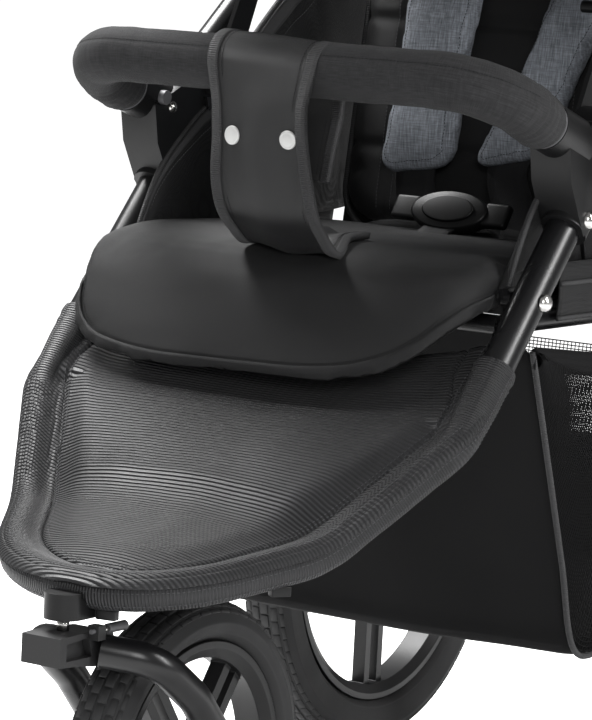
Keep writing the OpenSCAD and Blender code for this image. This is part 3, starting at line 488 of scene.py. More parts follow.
def make_finishes(colours):
    """Makes each material, under the name of the slot that it dresses where there is one."""
    F = FINISHES
    f = Finish("satin black lacquer", colours.lacquer, 0.27, specular_ior_level=0.4)
    f.roughness(f.noise(7.0, 3), 0.23, 0.34)
    f.bump(f.noise(260.0, 2), 0.00003, 0.35)
    F["black_tube"] = f.material
    F["dark_plastic"] = moulded("black moulded plastic", colours.plastic, 0.38, specular_ior_level=0.3)
    F["crown_plastic"] = moulded("grey grained plastic", colours.crown, 0.55, 700.0, 0.0002)
    F["grey_plastic"] = moulded("mid grey plastic", (0.10, 0.10, 0.105), 0.45)
    F["pedal_plastic"] = moulded("red pedal plastic", (0.30, 0.035, 0.03), 0.45)
    F["wheel_plastic"] = moulded("wheel plastic", (0.009, 0.009, 0.0095), 0.36, specular_ior_level=0.35)
    F["cast_arm"] = moulded("satin cast metal", (0.02, 0.02, 0.021), 0.34, 500.0, 0.00015, metallic=0.3)
    F["stud_metal"] = moulded("brushed stud metal", (0.62, 0.62, 0.61), 0.5, 700.0, 0.00012, metallic=0.35)
    f = Finish("bright nickel", (0.72, 0.71, 0.69), 0.16, metallic=1.0)
    f.roughness(f.noise(40.0, 2), 0.12, 0.26)
    f.bump(f.noise(500.0, 2), 0.00003, 0.3)
    F["nickel"] = f.material
    f = Finish("spring steel", (0.35, 0.35, 0.36), 0.3, metallic=1.0)
    f.roughness(f.noise(120.0, 2), 0.22, 0.4)
    F["spring_steel"] = f.material
    F["seat_fabric"] = cloth_finish("seat cloth", colours.seat, 0.0007, 0, 0.55, 0.03, 0.18, gleam=0.3)
    F["satin_fabric"] = cloth_finish("strap satin", colours.strap, 0.0006, 0, 0.42, 0.03, 0.15, gleam=0.4)
    F["basket_fabric"] = cloth_finish("basket cloth", colours.basket, 0.0008, 0, 0.75, 0, 0.12, gleam=0.12)
    F["hood_fabric"] = cloth_finish("hood cloth", (0.014, 0.014, 0.015), 0.0008, 0, 0.7, 0.03, 0.2)
    F["melange_grey"] = cloth_finish("dark melange weave", colours.bumper, 0.0011, 0.75, 0.85, 0.05, 0.45,
                                     "UV")
    F["melange_blue"] = cloth_finish("blue grey melange weave", colours.shoulder, 0.0011, 0.85, 0.85, 0.05,
                                     0.55)
    F["webbing"] = cloth_finish("webbing", (0.009, 0.009, 0.01), 0.0014, 0, 0.6, 0.02, 0.3, "UV")
    F["thread"] = cloth_finish("sewing thread", colours.thread, 0.0004, 0, 0.7, 0.02, 0.2)
    F["dark_thread"] = cloth_finish("dark sewing thread", (0.006, 0.006, 0.007), 0.0004, 0, 0.7, 0, 0.2)
    F["binding_tape"] = tape_finish("binding tape", colours.tape)
    F["ribbed_fabric"] = ribbed_finish("ribbed footrest cloth", colours.footrest, 0.0025, 0.42, "Object")
    # The sleeve is the footrest's cloth painted 1.4 times lighter: painted light standing in for the light its
    # glossy ribs catch.
    sleeve = shade(colours.footrest, 1.4)
    F["sleeve_ribs_painted_light"] = ribbed_finish("ribbed sleeve cloth painted light", sleeve, 0.0021, 0.45, "UV")
    F["grip_foam"] = moulded("foam grip", (0.02, 0.02, 0.021), 0.9, 1500.0, 0.0004)
    f = Finish("tyre rubber", colours.tyre, 0.72)
    cloud = f.noise(16.0, 4)
    worn, dusty = shade(colours.tyre, 0.75), shade(colours.tyre, 1.9)
    f.colours(cloud, (0.3, worn), (0.62, colours.tyre), (0.8, dusty))
    f.roughness(cloud, 0.62, 0.85)
    f.bump(f.noise(600.0, 2), 0.00012, 0.5)
    F["tyre"] = f.material


def ribbed_finish(name, colour, pitch, rough, coords):
    """Coated cloth with raised ribs across its length."""
    f = Finish(name, colour, rough, coords=coords, sheen_weight=0.02, specular_ior_level=0.36)
    rib = f.waves(1, pitch)
    cloud = f.noise(6.0, 3)
    # The rib wave lightens each crest and darkens each groove in the colour: painted light and painted shade.
    mix = f.math("ADD", f.math("MULTIPLY", rib, 0.13), cloud)
    f.colours(mix, (0.28, shade(colour, 0.5)), (0.5, colour), (0.72, shade(colour, 1.45)))
    f.roughness(cloud, rough - 0.05, rough + 0.08)
    f.bump(rib, pitch * 0.3, 0.8)
    f.bump(f.noise(1400.0, 1), 0.00005, 0.4)
    return f.material


def tape_finish(name, colour):
    """Narrow tape woven across its length."""
    f = Finish(name, colour, 0.6, coords="UV", sheen_weight=0.03)
    cloud = f.noise(30.0, 2)
    f.colours(cloud, (0.3, shade(colour, 0.75)), (0.7, shade(colour, 1.3)))
    f.roughness(cloud, 0.55, 0.7)
    f.bump(f.waves(1, 0.0016), 0.0004, 0.6)
    return f.material


# ---- repeated details ---------------------------------------------------------------
def new_group(name, *ports):
    """A node group with (name, kind, value) ports: its tree, input node, output node and ports."""
    tree = bpy.data.node_groups.new(name, "GeometryNodeTree")
    made = {}
    for port, kind, value in (("Geometry", "Geometry", None), *ports):
        made[port] = tree.interface.new_socket(port, in_out="INPUT", socket_type=f"NodeSocket{kind}")
        if value is not None:
            made[port].default_value = value
    tree.interface.new_socket("Geometry", in_out="OUTPUT", socket_type="NodeSocketGeometry")
    return tree, tree.nodes.new("NodeGroupInput"), tree.nodes.new("NodeGroupOutput"), made


def realised(tree, copies, source, material, out):
    """Makes the copies real, gives them the material and ends the group."""
    real = tree.nodes.new("GeometryNodeRealizeInstances")
    paint = tree.nodes.new("GeometryNodeSetMaterial")
    tree.links.new(copies.outputs["Instances"], real.inputs["Geometry"])
    tree.links.new(real.outputs["Geometry"], paint.inputs["Geometry"])
    tree.links.new(source.outputs[material], paint.inputs["Material"])
    tree.links.new(paint.outputs["Geometry"], out.inputs["Geometry"])


def stitch_tree():
    """Short threads laid end to end along curves."""
    tree, source, out, ports = new_group("Stitches", ("Pitch", "Float", 0.003), ("Length", "Float", 0.0022),
                                         ("Thickness", "Float", 0.0004), ("Thread", "Material", None))
    new, link = tree.nodes.new, tree.links.new
    to_curve, points = new("GeometryNodeMeshToCurve"), new("GeometryNodeCurveToPoints")
    points.mode = "LENGTH"
    link(source.outputs["Geometry"], to_curve.inputs["Mesh"])
    link(to_curve.outputs["Curve"], points.inputs["Curve"])
    link(source.outputs["Pitch"], points.inputs["Length"])
    bead = new("GeometryNodeMeshUVSphere")
    bead.inputs["Segments"].default_value, bead.inputs["Rings"].default_value = 6, 4
    bead.inputs["Radius"].default_value = 0.5
    shape = new("ShaderNodeCombineXYZ")
    for port, name in zip(shape.inputs, ("Thickness", "Thickness", "Length")):
        link(source.outputs[name], port)
    copies = new("GeometryNodeInstanceOnPoints")
    link(points.outputs["Points"], copies.inputs["Points"])
    link(points.outputs["Rotation"], copies.inputs["Rotation"])
    link(bead.outputs["Mesh"], copies.inputs["Instance"])
    link(shape.outputs["Vector"], copies.inputs["Scale"])
    realised(tree, copies, source, "Thread", out)
    return tree, {name: port.identifier for name, port in ports.items()}


def stitches(name, paths, body, slot, thread="thread", pitch=0.0032, length=0.0024, thickness=0.0006):
    """Rows of stitches along paths, as one piece on one body."""
    tree, port = stitches.tree = getattr(stitches, "tree", None) or stitch_tree()
    verts, edges = [], []
    for path in paths:
        edges += [(len(verts) + i, len(verts) + i + 1) for i in range(len(path) - 1)]
        verts += path
    mesh = bpy.data.meshes.new(name)
    mesh.from_pydata([tuple(v) for v in verts], edges, [])
    obj = linked(name, mesh)
    mod = obj.modifiers.new("Stitches", "NODES")
    mod.node_group = tree
    mod[port["Pitch"]], mod[port["Length"]], mod[port["Thickness"]] = pitch, length, thickness
    mod[port["Thread"]] = FINISHES[thread]
    flattened(obj)
    carried(obj, body)
    return obj


def around_tree():
    """Copies of one block round a wheel's axle."""
    tree, source, out, ports = new_group("Round the wheel", ("Count", "Int", 60), ("Turn", "Float", 0.0),
                                         ("Rubber", "Material", None))
    new, link = tree.nodes.new, tree.links.new
    line, index = new("GeometryNodeMeshLine"), new("GeometryNodeInputIndex")
    link(source.outputs["Count"], line.inputs["Count"])
    line.inputs["Offset"].default_value = (0, 0, 0)
    step, turn = new("ShaderNodeMath"), new("ShaderNodeMath")
    step.operation, turn.operation = "DIVIDE", "MULTIPLY_ADD"
    link(index.outputs["Index"], step.inputs[0])
    link(source.outputs["Count"], step.inputs[1])
    link(step.outputs[0], turn.inputs[0])
    turn.inputs[1].default_value = 2 * math.pi
    link(source.outputs["Turn"], turn.inputs[2])
    euler = new("ShaderNodeCombineXYZ")
    link(turn.outputs[0], euler.inputs[0])
    copies = new("GeometryNodeInstanceOnPoints")
    link(line.outputs["Mesh"], copies.inputs["Points"])
    link(source.outputs["Geometry"], copies.inputs["Instance"])
    link(euler.outputs["Vector"], copies.inputs["Rotation"])
    realised(tree, copies, source, "Rubber", out)
    return tree, {name: port.identifier for name, port in ports.items()}


def round_the_wheel(block, centre, count, finish, turn):
    """block is drawn with its foot on the X axis and its top up +Z, in metres; copies go round centre."""
    tree, port = round_the_wheel.tree = getattr(round_the_wheel, "tree", None) or around_tree()
    mod = block.modifiers.new("Round", "NODES")
    mod.node_group = tree
    mod[port["Count"]], mod[port["Turn"]] = count, turn
    mod[port["Rubber"]] = finish
    flattened(block)
    block.data.transform(Matrix.Translation(centre))
    return block


# ---- lines of the frame -------------------------------------------------------------
TUBE_X = 198
BEND, KNEE = (198, -196, 413.5), (138, -284, 330.5)
NOSE, NOSE_MID = (71, -399, 301.5), (0, -399, 301.5)
BAR_ROOT, BAR_CORNER = (200, -52, 642), (200, -172, 688)
SEAT_TOP, RECLINE, LEAN = 542.6, (0, 162, 520), math.radians(8)
HOOD = (0, 45, 745)


def tube_z(y):
    """The height in millimetres of the main tubes' middle line at y."""
    return 635 + 1.13 * y


def leaning(x, y, z):
    """A point drawn on the upright backrest, x across, y behind its board and z up it."""
    return at(x, RECLINE[1] + y * math.cos(LEAN) + z * math.sin(LEAN),
              RECLINE[2] - y * math.sin(LEAN) + z * math.cos(LEAN))


def smoothed(points, step):
    """A soft curve through the points, cut into even lengths of step."""
    out = []
    for i in range(len(points) - 1):
        a, b = points[max(i - 1, 0)], points[i]
        c, d = points[i + 1], points[min(i + 2, len(points) - 1)]
        for k in range(12):
            t = k / 12
            out.append(0.5 * (2 * b + (c - a) * t + (2 * a - 5 * b + 4 * c - d) * t * t
                              + (3 * b - a - 3 * c + d) * t ** 3))
    return spaced(out + [points[-1]], step)


def surface(obj):
    """The object's surface with its modifiers, for finding the nearest place on it."""
    return BVHTree.FromObject(obj, bpy.context.evaluated_depsgraph_get())


def onto(tree, points, lift):
    """The points moved to the nearest place on a surface, and lift above it."""
    out = []
    for p in points:
        place, normal, *_ = tree.find_nearest(p)
        out.append(place + normal * lift if place else p)
    return out


def tape(name, tree, edge_a, edge_b, lift, thickness, columns):
    """A strip of tape laid on a surface between two lines with the same number of points."""
    rows = []
    for a, b in zip(edge_a, edge_b):
        rows.append(onto(tree, [a.lerp(b, k / (columns - 1)) for k in range(columns)], lift))
    return thicken(grid(name, rows), thickness)


def block(name, size, place, turn=(0, 0, 0), bevel=0.0012, segments=3):
    """A small box with softened edges."""
    bm = bmesh.new()
    bmesh.ops.create_cube(bm, size=1)
    bmesh.ops.scale(bm, vec=Vector(size) * MM, verts=bm.verts)
    bmesh.ops.bevel(bm, geom=bm.edges, offset=bevel, segments=segments, affect="EDGES", profile=0.6)
    turned = Euler([math.radians(a) for a in turn]).to_matrix()
    bmesh.ops.rotate(bm, cent=(0, 0, 0), matrix=turned, verts=bm.verts)
    bmesh.ops.translate(bm, vec=place, verts=bm.verts)
    mesh = bpy.data.meshes.new(name)
    bm.to_mesh(mesh)
    bm.free()
    return linked(name, mesh)


# ---- bumper bar ---------------------------------------------------------------------
BUMPER_SEAM = 0.3
BUMPER_ROUND = Vector((0, 0.3, 1))
COVER_R, BUMPER_STEP = 0.0222, 0.003


def bumper_line():
    """The bar's middle line between the collars, from the left socket to the right."""
    root, corner = at(*BAR_ROOT), at(*BAR_CORNER)
    way = Vector((0, -0.95, 0.31)).normalized()
    start, knee = root + way * 0.0475, root + way * 0.062
    half = rounded([start, knee, corner, at(0, *BAR_CORNER[1:])], [0.024, 0.055], 10)
    return spaced(both_sides(half[:-1]), BUMPER_STEP)


def make_bumper_cover():
    """A padded sleeve that gathers at its ends, with a sewn seam and a plastic collar at each end."""
    path = bumper_line()
    ways = headings(path)
    length = (len(path) - 1) * BUMPER_STEP

    def radius(t, a):
        d = min(t, 1 - t) * length
        end = -0.0032 * math.exp(-d / 0.006)
        gathers = 0.0007 * math.sin(2 * math.pi * d / 0.0052) * smooth((0.05 - d) / 0.02)
        crease = noise.noise(Vector((t * 38, math.cos(a) * 1.4, math.sin(a) * 1.4)))
        seam = -0.0009 * math.exp(-((a - BUMPER_SEAM) / 0.045) ** 2)
        return COVER_R + end + gathers + 0.0006 * crease * smooth((d - 0.02) / 0.05) + seam

    cover = sweep("bumper_cover_cloth", path, radius, BUMPER_ROUND, 72)
    dressed(cover, "bumper", "melange_grey", "bumper_cover")

    def collar_radius(t, a):
        return 0.0186 + 0.0012 * math.sin(math.pi * min(t * 1.5, 1))

    collars = []
    for end, inward in ((path[0], ways[0]), (path[-1], -ways[-1])):
        line = [end + inward * d for d in (-0.006, -0.004, 0.001, 0.003)]
        collars.append(sweep("collar", line, collar_radius, BUMPER_ROUND, 48))
    dressed(joined("bumper_end_collars", collars), "bumper", "grey_plastic")

    bare_ends, seam = 14, []
    for p, t in list(zip(path, ways))[bare_ends:-bare_ends]:
        side = BUMPER_ROUND.cross(t).normalized()
        seam.append(p + (side * math.cos(BUMPER_SEAM) + t.cross(side) * math.sin(BUMPER_SEAM)) * 0.03)
    line = onto(surface(cover), seam, 0.0001)
    stitches("bumper_seam_stitches", [line], "bumper", "melange_grey", "dark_thread")


def strap_line():
    """The strap's middle line: up behind the bar, over it, and down to lie on the seat pad."""
    over, bar = 0.0232, at(0, *BAR_CORNER[1:])
    arc = []
    for k in range(17):
        a = math.radians(205 - 205 * k / 16)
        arc.append(bar + Vector((0, -over * math.cos(a), over * math.sin(a))))
    behind = [at(0, -160, 600), at(0, -150, 640), at(0, -147, 655)]
    hang = ((-196, 676), (-197, 655), (-196, 630), (-193, 600), (-184, 575), (-168, 558))
    front = [at(0, *p) for p in hang]
    seat = surface(bpy.data.objects["seat_pad_cushion"])
    for y in (-145, -110, -72):
        front.append(seat.ray_cast(at(0, y, 620), Vector((0, 0, -1)))[0] + Vector((0, 0, 0.0036)))
    return smoothed(behind + [p for p in arc if p.z > bar.z - 0.008] + front, 0.004)


def make_bumper_strap():
    """A wide strap with bound edges and two snaps, whose tongue narrows on the seat pad."""
    loop = strap_line()
    top, lip = BAR_CORNER[2] * MM, at(0, -150, 0).y
    rows = []
    for p, t in zip(loop, headings(loop)):
        drop = (top - p.z) / MM
        half = course([(-30, 50), (0, 49), (30, 44), (60, 43), (110, 45), (150, 46)], max(drop, -30)) * MM
        half *= 1 - 0.45 * smooth((p.y - lip) / 0.06) * (drop > 60)
        twist, shift = 0.0025 * math.sin(drop * 0.05), 0.004 * smooth(drop / 120)
        normal = Vector((0, t.z, -t.y))
        row = []
        for k in range(25):
            s = 2 * k / 24 - 1
            lift = 0.0018 * math.cos(s * math.pi * 1.5) * smooth(drop / 60) - 0.0012 * s * s
            row.append(p + Vector((s * half + shift, 0, 0)) + normal * (lift + twist * s))
        rows.append(row)
    strap = thicken(grid("bumper_strap_cloth", rows), 0.0032)
    dressed(flattened(finer(strap)), "bumper", "satin_fabric", "bumper_strap")

    cloth = surface(strap)
    for side, inner, outer, sewn in (("left", 22, 24, 21), ("right", 2, 0, 3)):
        edge = [[r[inner].lerp(r[outer], k / 4) for k in range(5)] for r in rows]
        for row in edge:
            row[-1] += (row[-1] - row[0]).normalized() * 0.0012
        dressed(thicken(grid(f"strap_binding_{side}", edge), 0.0052), "bumper", "binding_tape")
        line = onto(cloth, [r[sewn] for r in rows], 0.0002)
        stitches(f"strap_stitches_{side}", [line], "bumper", "satin_fabric", "dark_thread")
    snaps = []
    for x in (-24, 30):
        place, normal, *_ = cloth.find_nearest(at(x, -200, 633))
        snaps.append(cap("snap", place, normal, 0.0076, 0.0024))
    dressed(joined("strap_snaps", snaps), "bumper", "nickel", finish="stud_metal")


def cap(name, place, normal, radius, height):
    """A low round cap with a rolled edge, such as a press stud's head."""
    profile = [(0, 1), (0.35, 0.99), (0.62, 0.9), (0.72, 0.8), (0.78, 0.86), (0.9, 0.84), (0.98, 0.6),
               (1, 0.25), (0.98, 0)]
    side = normal.orthogonal().normalized()
    up = normal.cross(side)
    rows = []
    turns = [2 * math.pi * k / 32 for k in range(32)]
    for r, h in profile:
        rows.append([place + normal * (height * h) + (side * math.cos(a) + up * math.sin(a)) * radius * r
                     for a in turns])
    return outward(grid(name, rows, wrap=True, caps=True))


# ---- seat ---------------------------------------------------------------------------
LIP = [(-186, -112, 532), (-191, -146, 504), (-190, -170, 472), (-172, -179, 454), (-140, -186, 447),
       (-100, -190, 444), (-50, -191, 444.5), (0, -191, 445.5), (50, -190, 447), (90, -187, 452),
       (120, -181, 461), (141, -172, 473), (160, -158, 491), (172, -139, 505), (177, -116, 512)]


def pad_section(s, lip, under):
    """The pad's top or under side from its rear edge to a point of the lip, at the share s across it."""
    x, y, z = lip
    drop = min((SEAT_TOP - z) / 97, 1.0)

    def front(share):
        return lerp(172 * s, x, share)

    if under:
        base = SEAT_TOP - 26
        turn = lerp(z, SEAT_TOP, 0.42) - 4 - 8 * (1 - drop)
        line = [(170 * s, 126, base), (171 * s, 60, base), (front(0.3), -30, base),
                (front(0.7), y + 80, base), (front(0.9), y + 58, base + 2 - 4 * drop),
                (front(0.97), y + 44, base + 2 - 12 * drop), (x * 0.99, y + 27, turn),
                (x * 0.99, y + 11, z + 1)]
    else:
        edge = SEAT_TOP - 3 * s ** 8
        line = [(170 * s, 126, edge - 6), (171 * s, 60, edge - 2), (front(0.3), -30, edge),
                (front(0.7), y + 76 * (0.35 + 0.65 * drop), edge + 1),
                (front(0.9), y + 42 * (0.2 + 0.8 * drop), edge - 3),
                (front(0.97), y + 24 * drop + 2, edge - 19 * drop),
                (x, y + 12 * drop + 1, lerp(z, SEAT_TOP, 0.45)), (x, y, z)]
    return smoothed([at(*p) for p in line], 0.01)


def resampled(line, count):
    """The line as count points, at even shares of its own points."""
    out, n = [], len(line) - 1
    for k in range(count):
        f = n * k / (count - 1)
        i = min(int(f), n - 1)
        out.append(line[i].lerp(line[i + 1], f - i))
    return out


def lip_line(step, spread=1.0, back=1.0, shift=(0, 0, 0)):
    """The lip's line in steps of millimetres, drawn in towards the seat's middle and moved by shift."""
    return [at(p.x * spread + shift[0], p.y * back + shift[1], p.z + shift[2])
            for p in smoothed([Vector(p) for p in LIP], step)]


def make_seat_pad():
    """The padded seat, whose bound lip hangs over the front of the seat."""
    lips = smoothed([Vector(p) for p in LIP], 9)
    rows = []
    for i, lip in enumerate(lips):
        s = 2 * i / (len(lips) - 1) - 1
        s = 0.75 * s + 0.25 * max(min(lip.x / 180, 1), -1)
        top, under = (resampled(pad_section(s, lip, side), 36) for side in (False, True))
        rows.append(top + under[::-1])
    pad = outward(grid("seat_pad_cushion", rows, wrap=True, caps=True))
    lip_y = at(0, -150, 0).y
    swollen(pad, 0.005, 0.007, 3.0, lambda p: 0.2 + 0.8 * smooth((p.y - lip_y) / 0.07))

    def dents(p):
        return 0.0016 * noise.noise(Vector((p.x * 9, p.y * 14, p.z * 10))) + 0.0005 * noise.noise(p * 34)

    dressed(pushed(pad, dents), "frame", "seat_fabric", "seat_pad")
    cloth = surface(pad)
    low, high = lip_line(3, shift=(0, -4, -1)), lip_line(3, 0.965, 0.995, (0, 1, 11))
    dressed(tape("seat_pad_binding", cloth, low, high, 0.0012, 0.0022, 6), "frame", "seat_fabric")
    line = onto(cloth, lip_line(2.5, 0.955, 0.99, (0, 1, 13.5)), 0.0003)
    stitches("seat_pad_stitches", [line], "frame", "seat_fabric", "dark_thread", pitch=0.0034)


def piping(name, path, radius, body, across=ACROSS, sides=10):
    """A thin round cord in binding tape."""
    dressed(sweep(name, path, radius, across, sides), body, "binding_tape")


def make_side_walls():
    """A cloth wall on each side, from the seat up to the tubes, with a bound and piped top edge."""
    top = [(-104, 528), (-90, 560), (-68, 594), (-30, 627), (10, 654), (60, 703), (150, 777), (248, 856)]
    low = [(-112, 520), (-92, 536), (-60, 541), (0, 541), (60, 541), (120, 542), (170, 545), (206, 549)]
    for sign, side in ((1, "left"), (-1, "right")):
        tops = smoothed([at(sign * 179.5, *p) for p in top], 0.004)
        lows = resampled(smoothed([at(sign * 175, *p) for p in low], 0.004), len(tops))
        rows = []
        for a, b in zip(lows, tops):
            row = []
            for k in range(30):
                p = a.lerp(b, k / 29)
                fold = noise.noise(Vector((p.y * 26, p.z * 7, 4.0))) * smooth((p.y - HUB.y) / 0.1)
                hollow = 0.003 * math.sin(math.pi * k / 29) + 0.003 * abs(fold)
                p.x += sign * (0.0016 * noise.noise(p * 22) - hollow)
                row.append(p)
            rows.append(row)
        wall = thicken(grid(f"{side}_side_wall", rows), 0.003)
        dressed(wall, "between", "seat_fabric", *(["seat_wings"] if sign > 0 else []))
        inward = Vector((-sign, 0, 0))
        band = [[r[-1].lerp(r[-4], k / 4) + inward * 0.0014 for k in range(5)] for r in rows]
        dressed(thicken(grid(f"{side}_wall_binding", band), 0.003), "between", "binding_tape")
        cord = [p + Vector((sign * 0.001, 0, 0.001)) for p in tops]
        piping(f"{side}_wall_piping", cord, 0.0024, "between", sides=12)
        seam = [r[-6] + inward * 0.0018 for r in rows]
        stitches(f"{side}_wall_stitches", [seam], "between", "seat_fabric")


# ---- footrest -----------------------------------------------------------------------
def rim_half(first_y):
    """Half of the rim under the footrest's edge, from first_y on the tube to the middle of the nose."""
    start = at(TUBE_X, first_y, tube_z(first_y))
    return rounded([start, at(*BEND), at(*KNEE), at(*NOSE), at(*NOSE_MID)], [0.05, 0.09, 0.117], 16)


def offset_line(half, out):
    """The rim's half line moved outwards by out millimetres, level with it."""
    side = []
    for p, t in zip(half, headings(half)):
        outwards = Vector((-t.y, t.x, 0)).normalized()
        side.append(p + outwards * out * MM)
    return [p for p in side if p.x > 0.0005]


def crossing(line, y):
    """Where a half line passes y."""
    for a, b in zip(line, line[1:]):
        if b.y <= y <= a.y:
            return a.lerp(b, (a.y - y) / max(a.y - b.y, 1e-9))
    return line[0] if y > line[0].y else Vector((0, *line[-1].yz))


def make_footrest():
    """The cloth sags between the sides and runs on over the tube to the outer seam."""
    half = spaced(rim_half(-110)[:-1] + [at(0.01, *NOSE_MID[1:])], 0.002)
    tree = KDTree(2 * len(half))
    rim = both_sides(half)
    for k, p in enumerate(rim):
        tree.insert(Vector((p.x, p.y, 0)), k)
    tree.balance()
    edges = {out: offset_line(half, out) for out in (-8, 0, 13.8)}
    rows = []
    for i in range(151):
        y = -126 - 286.4 * math.sin(math.pi / 2 * i / 150)
        over = smooth((-156 - y) / 30)
        level = HUB.y + y * MM
        width = lerp(crossing(edges[-8], level).x, crossing(edges[13.8], level).x, over)
        inner = crossing(edges[0], level)
        share = min(1, (-128 - y) / (196 - 128))
        lift = 18 * max(share, 0) - 9
        if y > -264:
            middle = -23 + 39 * (-128 - y) / (264 - 128)
        else:
            middle = 16 - 17 * (-264 - y) / (399 - 264)
        row = []
        for k in range(191):
            s = math.sin(math.pi / 2 * (k / 95 - 1))
            x = max(width, 0.004) * s
            _, index, d = tree.find(Vector((x, level, 0)))
            d /= MM
            if abs(x) < inner.x and y > -399:
                channel = 20 if y < -180 else lerp(20, 36, smooth((y + 180) / 40))
                rise = lerp(lerp(lift, 14.9, over), lift, smooth(d / channel))
                rise += middle * (1 - s * s) * smooth((d - 8) / 40)
                rise -= 2.4 * math.exp(-((d - channel) / 1.7) ** 2)
                waves = 2.6 * noise.noise(Vector((x * 7, level * 9, 0.3)))
                waves += 0.8 * noise.noise(Vector((x * 26, level * 18, 2)))
                rise += smooth((d - channel) / 30) * waves
            else:
                rise = math.sqrt(max(14.9 ** 2 - d * d, 9)) - 0.8 * math.exp(-((d - 9) / 1.0) ** 2)
            base = lerp(rim[index].z, inner.z, smooth(d / 40))
            row.append(Vector((x, level, base + rise * MM)))
        rows.append(row)
    panel = thicken(grid("footrest_cloth", rows), 0.0022, -1)
    dressed(panel, "frame", "ribbed_fabric", "footrest_panel")
    cloth = surface(panel)
    lines = [both_sides(offset_line(half, out)) for out in (-17.6, -22.4, 7.0)]
    seams = [onto(cloth, [p + Vector((0, 0, 0.02)) for p in spaced(l, 0.003)], 0.0003) for l in lines]
    stitches("footrest_stitches", seams, "frame", "ribbed_fabric", pitch=0.0036)


def make_footrest_sleeve():
    """A sewn sleeve round the front loop, with two hems and small clips under it."""
    half = spaced(rim_half(-146)[:-1] + [at(*NOSE_MID)], 0.003)
    path = spaced(both_sides(half[:-1] + [at(0.01, *NOSE_MID[1:])]), 0.003)
    length = (len(path) - 1) * 0.003

    def radius(t, a):
        d = min(t, 1 - t) * length / MM
        r = course([(0, 16.4), (34, 16.0), (60, 14.4), (90, 13.6), (900, 13.6)], d)
        hem = 1.1 * math.exp(-((d - 5) / 3.5) ** 2) + 0.5 * math.exp(-((d - 15) / 2.5) ** 2)
        seams = sum(-0.9 * math.exp(-((a - c) / 0.05) ** 2) for c in (1.2, 2.6))
        return (r + hem + seams + 0.35 * noise.noise(Vector((t * 60, math.cos(a), math.sin(a))))) * MM

    sleeve = sweep("footrest_sleeve", path, radius, Vector((0, -0.4, 1)), 64)
    # Its finish is the footrest cloth painted lighter, a painted highlight.
    dressed(sleeve, "frame", "ribbed_fabric", "footrest_binding", finish="sleeve_ribs_painted_light")
    cloth, outer = surface(sleeve), both_sides(offset_line(half, 26))
    lines = [onto(cloth, [p + Vector((0, 0, up)) for p in outer], 0.0003) for up in (0.003, -0.02)]
    stitches("sleeve_stitches", lines, "frame", "ribbed_fabric", pitch=0.0038)
    clips = []
    for share in (0.3, 0.47, 0.68):
        k = round(share * (len(path) - 1))
        way = path[k + 1] - path[k]
        turn = math.degrees(math.atan2(way.y, way.x))
        clips.append(block("clip", (16, 8, 8), path[k] + Vector((0, 0, -0.0165)), (0, 0, turn)))
    dressed(joined("sleeve_clips", clips), "frame", "dark_plastic")


# ---- backrest and harness -----------------------------------------------------------
def cushion(name, outline, depth, place, voxel, cap_by, pressure):
    """A pad from a closed outline of (x, z) points, swollen on both faces.

    place turns a point's x, y and z in the pad's own millimetres into a point of the scene.
    """
    cx = sum(p[0] for p in outline) / len(outline)
    cz = sum(p[1] for p in outline) / len(outline)
    rows = []
    for k in range(7):
        a = math.pi * k / 6
        share, y = 1 - 0.07 * (1 - math.sin(a)), depth * 0.5 * math.cos(a)
        rows.append([place(cx + (x - cx) * share, y, cz + (z - cz) * share) for x, z in outline])
    return swollen(outward(grid(name, rows, wrap=True, caps=True)), voxel, cap_by, pressure)


def rounded_outline(width, low, high, radius):
    """A rectangle with rounded corners, as (x, z) points no more than 24 mm apart."""
    out = []
    for side, middle, start in ((1, low + radius, -90), (1, high - radius, 0), (-1, high - radius, 90),
                                (-1, low + radius, 180)):
        centre = (side * (width / 2 - radius), middle)
        for k in range(9):
            a = math.radians(start + 90 * k / 8)
            out.append((centre[0] + radius * math.cos(a), centre[1] + radius * math.sin(a)))
    dense = []
    for a, b in zip(out, out[1:] + out[:1]):
        n = max(1, int(math.dist(a, b) / 12))
        dense += [(lerp(a[0], b[0], k / n), lerp(a[1], b[1], k / n)) for k in range(n)]
    return dense


def make_backrest():
    """The quilted pad that leans back from the seat, with piping round it."""
    def behind(x, y, z):
        return leaning(x, y - 16.5, z)

    pad = cushion("backrest_cushion", rounded_outline(290, 14, 391, 42), 20, behind, 0.006, 0.006, 2.5)

    def quilting(p):
        x, z = p.x / MM, p.z / MM
        groove = sum(math.exp(-((z - c) / 5) ** 2) for c in (610, 720, 820))
        groove += math.exp(-((abs(x) - 92) / 5) ** 2)
        return 0.0007 * noise.noise(p * 20) - 0.0022 * min(groove, 1)

    pushed(pad, quilting)
    dressed(pad, "backrest", "seat_fabric", "backrest_pad")
    cloth, lines = surface(pad), []
    for x in (-98, 98, -86, 86):
        lines.append(onto(cloth, [leaning(x, -40, z) for z in range(30, 380, 4)], 0.0003))
    stitches("backrest_stitches", lines, "backrest", "seat_fabric")
    edge = [leaning(x, -5, z) for x, z in rounded_outline(296, 10, 395, 42)]
    cord = sweep("backrest_piping", edge + edge[:1], 0.0032, Vector((0, 1, 0)), 10, caps=False)
    dressed(cord, "backrest", "binding_tape")


